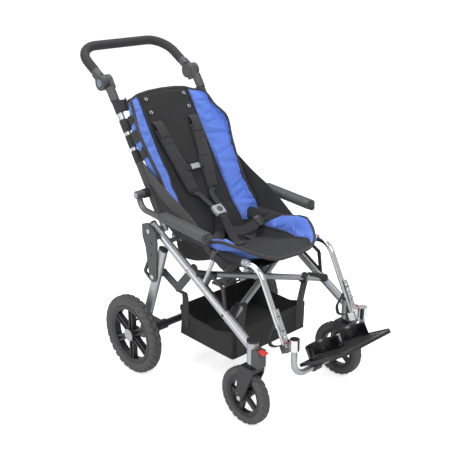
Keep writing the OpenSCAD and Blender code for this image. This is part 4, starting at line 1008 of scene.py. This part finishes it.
def basket_ring(inset, share):
    """One level round the basket: inset from its outside, at a share of the way up its wall."""
    half_x, half_y = BASKET_X - inset, (BASKET_BACK - BASKET_FRONT) / 2 - inset
    corners = []
    for cx, cy, start in ((1, 1, 0), (-1, 1, 90), (-1, -1, 180), (1, -1, 270)):
        turn = np.radians(np.linspace(start, start + 90, 7))
        corners.append(np.stack([cx * (half_x - BASKET_CORNER) + BASKET_CORNER * np.cos(turn),
                                 cy * (half_y - BASKET_CORNER) + BASKET_CORNER * np.sin(turn)], -1))
    flat = []
    for a, b in zip(corners, corners[1:] + corners[:1]):
        flat += [a, a[-1] + (b[0] - a[-1]) * np.linspace(0, 1, 16)[1:-1, None]]
    flat = np.concatenate(flat)
    run = np.arctan2(flat[:, 1] / half_y, flat[:, 0] / half_x)
    wave = 1.6 + 1.6 * np.sin(5 * run + 4 * share) + 1.0 * np.sin(11 * run + 2.0)
    slack = np.sin(math.pi * min(share, 1.0)) ** 0.8 * wave
    flat = flat * (1 - np.maximum(slack, 0)[:, None] / np.linalg.norm(flat, axis=1)[:, None])
    y = flat[:, 1] + BASKET_MIDDLE
    low = BASKET_Z + 1.5 + inset * 0.9
    return np.stack([flat[:, 0], y, low + share * (basket_top(y) - low)], -1)


def basket():
    def across(ring, scale, sag):
        middle = np.array([0, BASKET_MIDDLE, 0])
        shrunk = (ring - middle) * (scale, scale, 1) + middle
        shrunk[:, 2] -= sag
        return shrunk
    outer, inner = basket_ring(0.0, 0.0), basket_ring(2.4, 0.0)
    levels = [across(outer, s, -0.4 * (s - 0.5)) for s in (0.02, 0.3, 0.6, 0.85, 0.97)]
    levels += [basket_ring(0.0, s) for s in np.linspace(0.015, 1.0, 22)] + [basket_ring(1.2, 1.012)]
    levels += [basket_ring(2.4, s) for s in np.linspace(1.0, 0.03, 18)]
    levels += [across(inner, s, 0.0) for s in (0.97, 0.85, 0.6, 0.3, 0.02)]
    grid = np.stack([mm(*level.T) for level in levels])
    rows, columns = grid.shape[:2]
    faces = grid_faces(rows, columns, flip=True, wrap=True)
    faces += [list(range(columns)), [(rows - 1) * columns + c for c in range(columns)][::-1]]
    made = piece("basket_shell", grid.reshape(-1, 3), faces, bag_cloth, "chassis", arc_places(grid), 60.0)
    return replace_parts(made, "basket")


basket_shell = basket()
rim = basket_ring(0.9, 1.0) - (0, 0, 7.0)
basket_hem = strap("basket_hem", mm(*rim.T), UPRIGHT, 16.0, 4.2, "chassis", bag_cloth, True)
for made in (basket_shell, basket_hem):
    tuple(mm(0, -250, 252))
    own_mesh(made)
print("basket:", len(basket_shell.data.vertices), "points")

# %% [markdown]
# Four straps carry the basket: two come down from the leg stays behind, and two hang in loops from
# the crossed brace tubes in front.

# %% Basket straps
BRACE_LOW, BRACE_HIGH, LEG_LENGTH, BRACE_SPAN, LOOP_X = 0.7575, 0.433, 524.23, 392.0, 140.0
STAY_STRAP = [(203, -155, 324.2), (190, -155, 323.6), (179, -155, 318), (174.8, -155, 304), (174.2, -155, 250),
              (174, -155, 186)]
brace_rise = BRACE_HIGH - BRACE_LOW
hung_straps = []
for side, sign in SIDES:
    path = smooth_path(listed(STAY_STRAP, sign), 44)
    hung_straps.append(strap(f"basket_strap_rear_{side}", path, (0, 1, 0), 32, 2.4, "chassis"))
    middle = on_leg(sign * LOOP_X, (BRACE_LOW + brace_rise * 56.0 / BRACE_SPAN) * LEG_LENGTH, sign * 11.0)
    along = on_leg(sign, brace_rise * LEG_LENGTH / BRACE_SPAN, 0) - on_leg(0, 0, 0)
    along = along / np.linalg.norm(along)
    up = np.cross(along, (0.0, 1.0, 0.0))
    up = up / np.linalg.norm(up)
    ahead = np.cross(up, along)
    turn = circle(36)[:, None]
    ring = middle + 0.0122 * (np.cos(turn) * ahead + np.sin(turn) * up)
    hung_straps.append(strap(f"basket_loop_{side}", ring, along, 32, 2.2, "chassis", closed=True))
    low = mm(sign * LOOP_X, -386.6, np.array([160.0, 200.0, 238.0]))
    path = smooth_path(np.concatenate([low, [middle + (0, -0.004, -0.012)]]), 30)
    hung_straps.append(strap(f"basket_strap_front_{side}", path, ACROSS, 36, 2.4, "chassis"))
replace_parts(hung_straps[0], "basket_straps")
print("basket straps:", len(hung_straps), "pieces")

# %% [markdown]
# The harness. Two shoulder pads hang down the back and draw together towards the middle, each a flat
# cushion with a rounded edge. Webbing comes out of slots above them and runs on below through a
# small loop to the buckle, and a chest clip joins the pads.

# %% Shoulder pads
PAD_TOP, PAD_LENGTH, PAD_WIDE, PAD_CLOSE = 316.0, 234.0, 77.5, 43.0


def on_pad(side_sign, across, down, lift):
    """A place on a shoulder pad: across its width from -1 to 1, down its length from 0 to 1."""
    along = PAD_TOP - PAD_LENGTH * down
    middle = PAD_WIDE + (PAD_CLOSE - PAD_WIDE) * down ** 1.2
    inner = 9.0 * np.exp(-((down - 0.64) / 0.17) ** 2) * np.clip(-across, 0, 1)
    bulge = 26.2 + 1.5 * np.sin(math.pi * down)
    return on_back(side_sign * (middle + across * (27.0 - 2.0 * down) - inner), along, bulge + lift)


def rounded_pad(name, place, thick, finish, body, rows=40, columns=17):
    """A cushion over a patch: place(across, down, lift) gives its points, and its rim is rounded."""
    down, across = np.linspace(0, 1, rows)[:, None], np.linspace(-1, 1, columns)[None, :]
    rim = np.clip(1 - np.abs(across) ** 5, 0, 1) * np.clip(1 - np.abs(2 * down - 1) ** 26, 0, 1)
    pull = 1 - 0.06 * (1 - rim)
    face = place(across * pull, down, thick * (0.35 + 0.65 * np.sqrt(rim)))
    rear = place(across * pull, down, 0.0)
    return pad(name, face, rear, finish, body)


harness = []
for side, sign in SIDES:
    shape = lambda across, down, lift, s=sign: on_pad(s, across * s, down, lift)
    made = rounded_pad(f"shoulder_pad_{side}", shape, 7.5, pad_cloth, "back")
    harness.append(stuffed(made))
    slot_end = listed([(80, 352, 17.5), (79.5, 346, 27), (78.5, 333, 33)], sign, on_back)
    top = smooth_path(np.concatenate([slot_end, on_pad(sign, 0, np.array([0.0, 0.12]), 9.2)]), 30)
    harness.append(strap(f"shoulder_strap_{side}", top, ACROSS, 38, 2.4, "back"))
    turn = circle(24)[:, None]
    ring = on_pad(sign, 0, 1.0, 4.0) + 0.013 * np.cos(turn) * (1, 0, 0) + BACK_UP * (7.0 * np.sin(turn) - 4.0)
    harness.append(cord(f"shoulder_ring_{side}", ring, BACK_AHEAD, 4.0, "back", black_plastic, closed=True))
    for down in (0.22, 0.5, 0.78):
        seam = on_pad(sign, np.linspace(-0.9, 0.9, 14), down, 7.9)
        harness.append(cord(f"shoulder_seam_{side}_{int(down * 100)}", seam, UPRIGHT, 1.6, "back", sides=6))
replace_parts(harness[0], "shoulder_harness")
print("shoulder harness:", len(harness), "pieces")

# %% [markdown]
# The chest clip is a grey bar with black ends, and the centre buckle is a grey shield with a round
# push button. Both are small closed forms with rounded rims.

# %% Chest clip and buckle
clip = lambda across, down, lift: on_back(across * 20, 176 - 20 * down, 34.6 + lift)
rounded_pad("chest_clip", clip, 5.6, buckle_grey, "back", 16, 16)
for side, sign in SIDES:
    end = lambda across, down, lift, s=sign: on_back(s * 28.5 + across * 10.5, 175 - 18 * down, 34.4 + lift)
    rounded_pad(f"chest_clip_end_{side}", end, 5.0, black_plastic, "back", 16, 16)
on_buckle = tilted(-132, 558, math.radians(35.0))
shield = lambda across, down, lift: on_buckle(across * (26 - 3 * (2 * down - 1) ** 2), 20 - 40 * down, -3 + lift)
buckle = rounded_pad("buckle_shield", shield, 12.0, buckle_grey, "chassis", 24, 24)
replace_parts(buckle, "harness_buckle")
turn = np.linspace(0, 2 * math.pi, 40)[:, None]
disc = np.array([(0.2, 11.6), (6, 11.6), (9.4, 11.2), (11, 10.2), (11.4, 8.4)])
cap = on_buckle(disc[None, :, 0] * np.cos(turn), disc[None, :, 0] * np.sin(turn), disc[None, :, 1])
button = piece("buckle_button", cap.reshape(-1, 3), grid_faces(40, 5), dark_plastic, "chassis", arc_places(cap))
print("buckle at", np.round(on_buckle(0, 0, 0), 3))

# %% [markdown]
# Lap belts come over the bolsters, lie down into the dip of the seat and rise to the buckle. Each
# carries a black slide adjuster. The crotch strap comes up from the seat, and two thin straps run
# down to the buckle from the shoulder pads across the back's pivot.

# %% Belts
LAP_BELT = [(150, -206, 502), (140, -206, 509), (120, -202, 507), (98, -198, 495), (70, -190, 486), (46, -180, 484),
            (29, -168, 490), (21, -156, 514), (17, -148, 540)]
BELT_TAIL = [(118, -176, 13), (104, -190, 14), (84, -206, 12), (60, -218, 11)]


def on_seat(x, y, lift):
    """A place lying on the seat or on the inside of a bolster."""
    return mm(x, y, seat_height(x, y) + lift)


belts = []
for side, sign in SIDES:
    path = smooth_path(listed(LAP_BELT, sign), 60)
    belts.append(strap(f"lap_belt_{side}", path, (0, 0.8, 0.6), 36, 2.6, "chassis"))
    tail = smooth_path(listed(BELT_TAIL, sign, on_seat), 26)
    belts.append(strap(f"lap_belt_tail_{side}", tail, (0, 0.9, 0.3), 30, 2.2, "chassis"))
    belts.append(strap(f"lap_adjuster_{side}", path[7:13], (0, 0.8, 0.6), 44, 9, "chassis", black_plastic))
    down = [on_pad(sign, 0, 1.0, 3.0), on_back(sign * 26, 64, 34.0), on_back(sign * 20, 40, 44.0),
            on_buckle(sign * 15, 19, 4.0)]
    thin = strap(f"shoulder_tie_{side}", smooth_path(down, 30), ACROSS, 20, 2.2, None)
    belts.append(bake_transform(thin, "chassis", "back", tuple(mm(0, -118, 566)), tuple(on_back(0, 70, 34))))
path = smooth_path(np.concatenate([listed([(0, -250, 9), (0, -228, 12), (0, -206, 28)], on=on_seat),
                                   listed([(0, -182, 508), (0, -160, 540), (0, -150, 551)])]), 40)
belts.append(strap("crotch_strap", path, ACROSS, 34, 2.6, "chassis"))
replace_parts(belts[0], "lap_harness")
for made in (buckle, button, belts[-1]):
    tuple(mm(0, -132, 455))
    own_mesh(made)
print("belts:", len(belts), "pieces")

# %% [markdown]
# Four bands of webbing lace each wing to its back tube. Each goes once round the tube and is sewn
# flat to the outside of the wing.

# %% Lacing
LACE_ROWS, TAB_ENDS, TUBE_R = (250.0, 306.0, 362.0, 430.0), (0.96, 0.96, 0.96, 0.78), 12.4
laces = []
for side, sign in SIDES:
    for row, (along, tab_end) in enumerate(zip(LACE_ROWS, TAB_ENDS)):
        turn = circle(36)
        wrap = on_back(sign * (TUBE_X + TUBE_R * np.cos(turn)), along, TUBE_R * np.sin(turn))
        laces.append(strap(f"lace_wrap_{side}_{row}", wrap, BACK_UP, 44, 2.2, "back", closed=True))
        up = (along + 46.0) / (COVER_TOP + 26.0)
        sewn = wing_grid(WING_REAR, REAR_N, np.linspace(0.42, tab_end, 7), np.array(up), sign)
        sewn = np.stack([sewn[:, 0] + sign * 1.6, np.full(7, along), sewn[:, 2] - 1.4], -1)
        tab = np.concatenate([[[sign * 184.0, along, 12.0]], sewn])
        laces.append(strap(f"lace_tab_{side}_{row}", smooth_path(on_back(*tab.T), 30), BACK_UP, 42, 2.0, "back"))
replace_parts(laces[0], "back_lacing")
print("lacing:", len(laces), "pieces")

# %% [markdown]
# Armrest pads: dark moulded foam with a chamfered top, drawn along the arm with rounded ends, and a
# round plug that closes the tube in front.

# %% Armrest pads
ARM_X, ARM_Z, ARM_BACK, ARM_LENGTH = 235.0, -46.0, -117.0, 222.0
PAD_HALF = [(0, -8), (10, -8), (13, -6), (14.5, -2), (20, 0), (22.6, 3), (23, 8), (22.6, 13), (19, 18.5),
            (13.5, 21.6), (6, 22.3)]
PAD_ENDS = [(0, 0.8), (0.004, 0.9), (0.012, 0.955), (0.026, 0.985), (0.05, 1), (0.2, 1), (0.4, 1), (0.6, 1), (0.8, 1),
            (0.95, 1), (0.974, 0.985), (0.988, 0.955), (0.996, 0.9), (1, 0.8)]
on_arm = tilted(-5.84, 635.42, math.radians(4.0))
along, size = np.array(PAD_ENDS).T
pad_outline = np.array(PAD_HALF + [(0, 22.4)] + [(-x, z) for x, z in PAD_HALF[:0:-1]]) / 1000.0
for side, sign in SIDES:
    path = on_arm(sign * ARM_X, ARM_BACK - ARM_LENGTH * along, ARM_Z + 6 * (1 - size))
    made = sweep(f"arm_pad_{side}", path, ACROSS, pad_outline, dark_plastic, f"arm_{side}", scale=size)
    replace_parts(made, f"armrest_pad_{side}")
    plug = on_arm(sign * ARM_X, np.array([-338, -345.4, -347.4, -348.4]), ARM_Z)
    cord(f"arm_plug_{side}", plug, ACROSS, 21, f"arm_{side}", black_plastic, "black_plastic", 28,
         scale=[1, 1, 0.9, 0.6])
print("armrest pads ready")

# %% [markdown]
# The heel loops are bands of glossy plastic that stand on the footplate and curve round behind each
# heel, with a chrome buckle where they meet.

# %% Heel loops
LOOP_R, LOOP_Y = 59.6, -77.0
on_plate = tilted(-639, 195, math.radians(-30.7))
normal = on_plate(0, 0, 1) - on_plate(0, 0, 0)
for side, sign in SIDES:
    turn = np.radians(np.linspace(-4, 184, 48))
    path = on_plate(sign * 64 + LOOP_R * np.cos(turn), LOOP_Y + LOOP_R * np.sin(turn),
                    50.2 - 3.0 * np.abs(np.cos(turn)) ** 3)
    made = strap(f"heel_loop_{side}", path, normal, 41, 3.4, "foot_plate", gloss_strap)
    if sign > 0:
        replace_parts(made, "heel_straps")
keeper = on_plate(np.linspace(-7, 7, 8), -76.0, 50.0)
strap("heel_keeper", keeper, normal, 38, 9, "foot_plate", chrome)
print("heel loops ready")

# %% [markdown]
# Two thin straps hang in a loop behind the footrest hangers, and small black screws show on the outer
# side of the front legs. Both are details of a few millimetres that the eye still expects.

# %% Hanger loops and screws
HANGER_LOOP = [(-572, 372), (-549, 322), (-534, 280), (-541, 264), (-560, 266), (-586, 281), (-606, 291)]
LEG_X, SCREW_HEAD = 222.0, [(0.01, 15.6), (2.2, 15.6), (3.8, 15.0), (4.4, 13.4), (0.01, 13.4)]
for side, sign in SIDES:
    hung = smooth_path(mm(sign * RAIL_X, *np.array(HANGER_LOOP, float).T), 48)
    strap(f"hanger_loop_{side}", hung, ACROSS, 14, 2.6, "chassis")
    for row, down in enumerate((190.0, 384.0)):
        lathe(f"leg_screw_{side}_{row}", on_leg(sign * LEG_X, down, 2.0), [(r, sign * x) for r, x in SCREW_HEAD],
              black_plastic, "chassis", 20)
print("loops and screws placed")

# %% [markdown]
# The studio. A pale floor takes a soft shadow, the camera sees a white surround, and three large
# soft lamps light the buggy from the front, the side and behind.

# %% Stage, light and camera
scene = bpy.context.scene
floor_finish = Finish("pale_floor", (0.9, 0.9, 0.9), 0.75, Emission_Strength=0.6)
floor_finish.rough(0.7 + 0.1 * floor_finish.noise(3.0))
seen = floor_finish.node("LightPath", out="Is Camera Ray")
floor_finish.feed(floor_finish.shader.inputs["Emission Color"], seen)
FLOOR = 60
corners = [(-FLOOR, -FLOOR, 0), (FLOOR, -FLOOR, 0), (FLOOR, FLOOR, 0), (-FLOOR, FLOOR, 0)]
piece("floor", corners, [(0, 1, 2, 3)], floor_finish, None)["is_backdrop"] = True
world = bpy.data.worlds.new("studio")
scene.world = world
world.use_nodes = True
sky = world.node_tree.nodes["Background"]
sky.inputs["Color"].default_value = (1.0, 1.0, 1.0, 1.0)
sky.inputs["Strength"].default_value = 0.55


def lamp(name, place, aim, size, watts):
    light = bpy.data.lights.new(name, "AREA")
    light.shape, light.size, light.energy = "DISK", size, watts
    made = bpy.data.objects.new(name, light)
    made.location = place
    made.rotation_euler = (Vector(aim) - Vector(place)).to_track_quat("-Z", "Y").to_euler()
    scene.collection.objects.link(made)


lamp("key", (-1.6, -3.0, 3.4), (0, 0, 0.5), 2.2, 95.0)
lamp("fill", (-3.4, 0.8, 2.2), (0, 0, 0.5), 2.4, 45.0)
lamp("top", (0.6, 0.6, 3.8), (0, 0, 0.4), 2.6, 60.0)

AZIMUTH, ELEVATION = math.radians(-43.03), math.radians(20.56)
level = math.cos(ELEVATION)
toward = Vector((math.sin(AZIMUTH) * level, -math.cos(AZIMUTH) * level, math.sin(ELEVATION)))
camera = bpy.data.objects.new("camera", bpy.data.cameras.new("camera"))
camera.location = (-1.7438, -1.8627, 1.4525)
camera.rotation_euler = (-toward).to_track_quat("-Z", "Y").to_euler()
camera.data.lens, camera.data.sensor_width = 62.76, 36.0
scene.collection.objects.link(camera)
scene.camera = camera
scene.view_settings.view_transform = "Standard"
print("camera", round(camera.data.lens, 2), "mm")

# %% Sizes and finish
low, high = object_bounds()
grown = np.array(high) - np.array(low) - np.array(cad_high) + np.array(cad_low)
print("grown by", np.round(grown * 1000, 1), "mm")
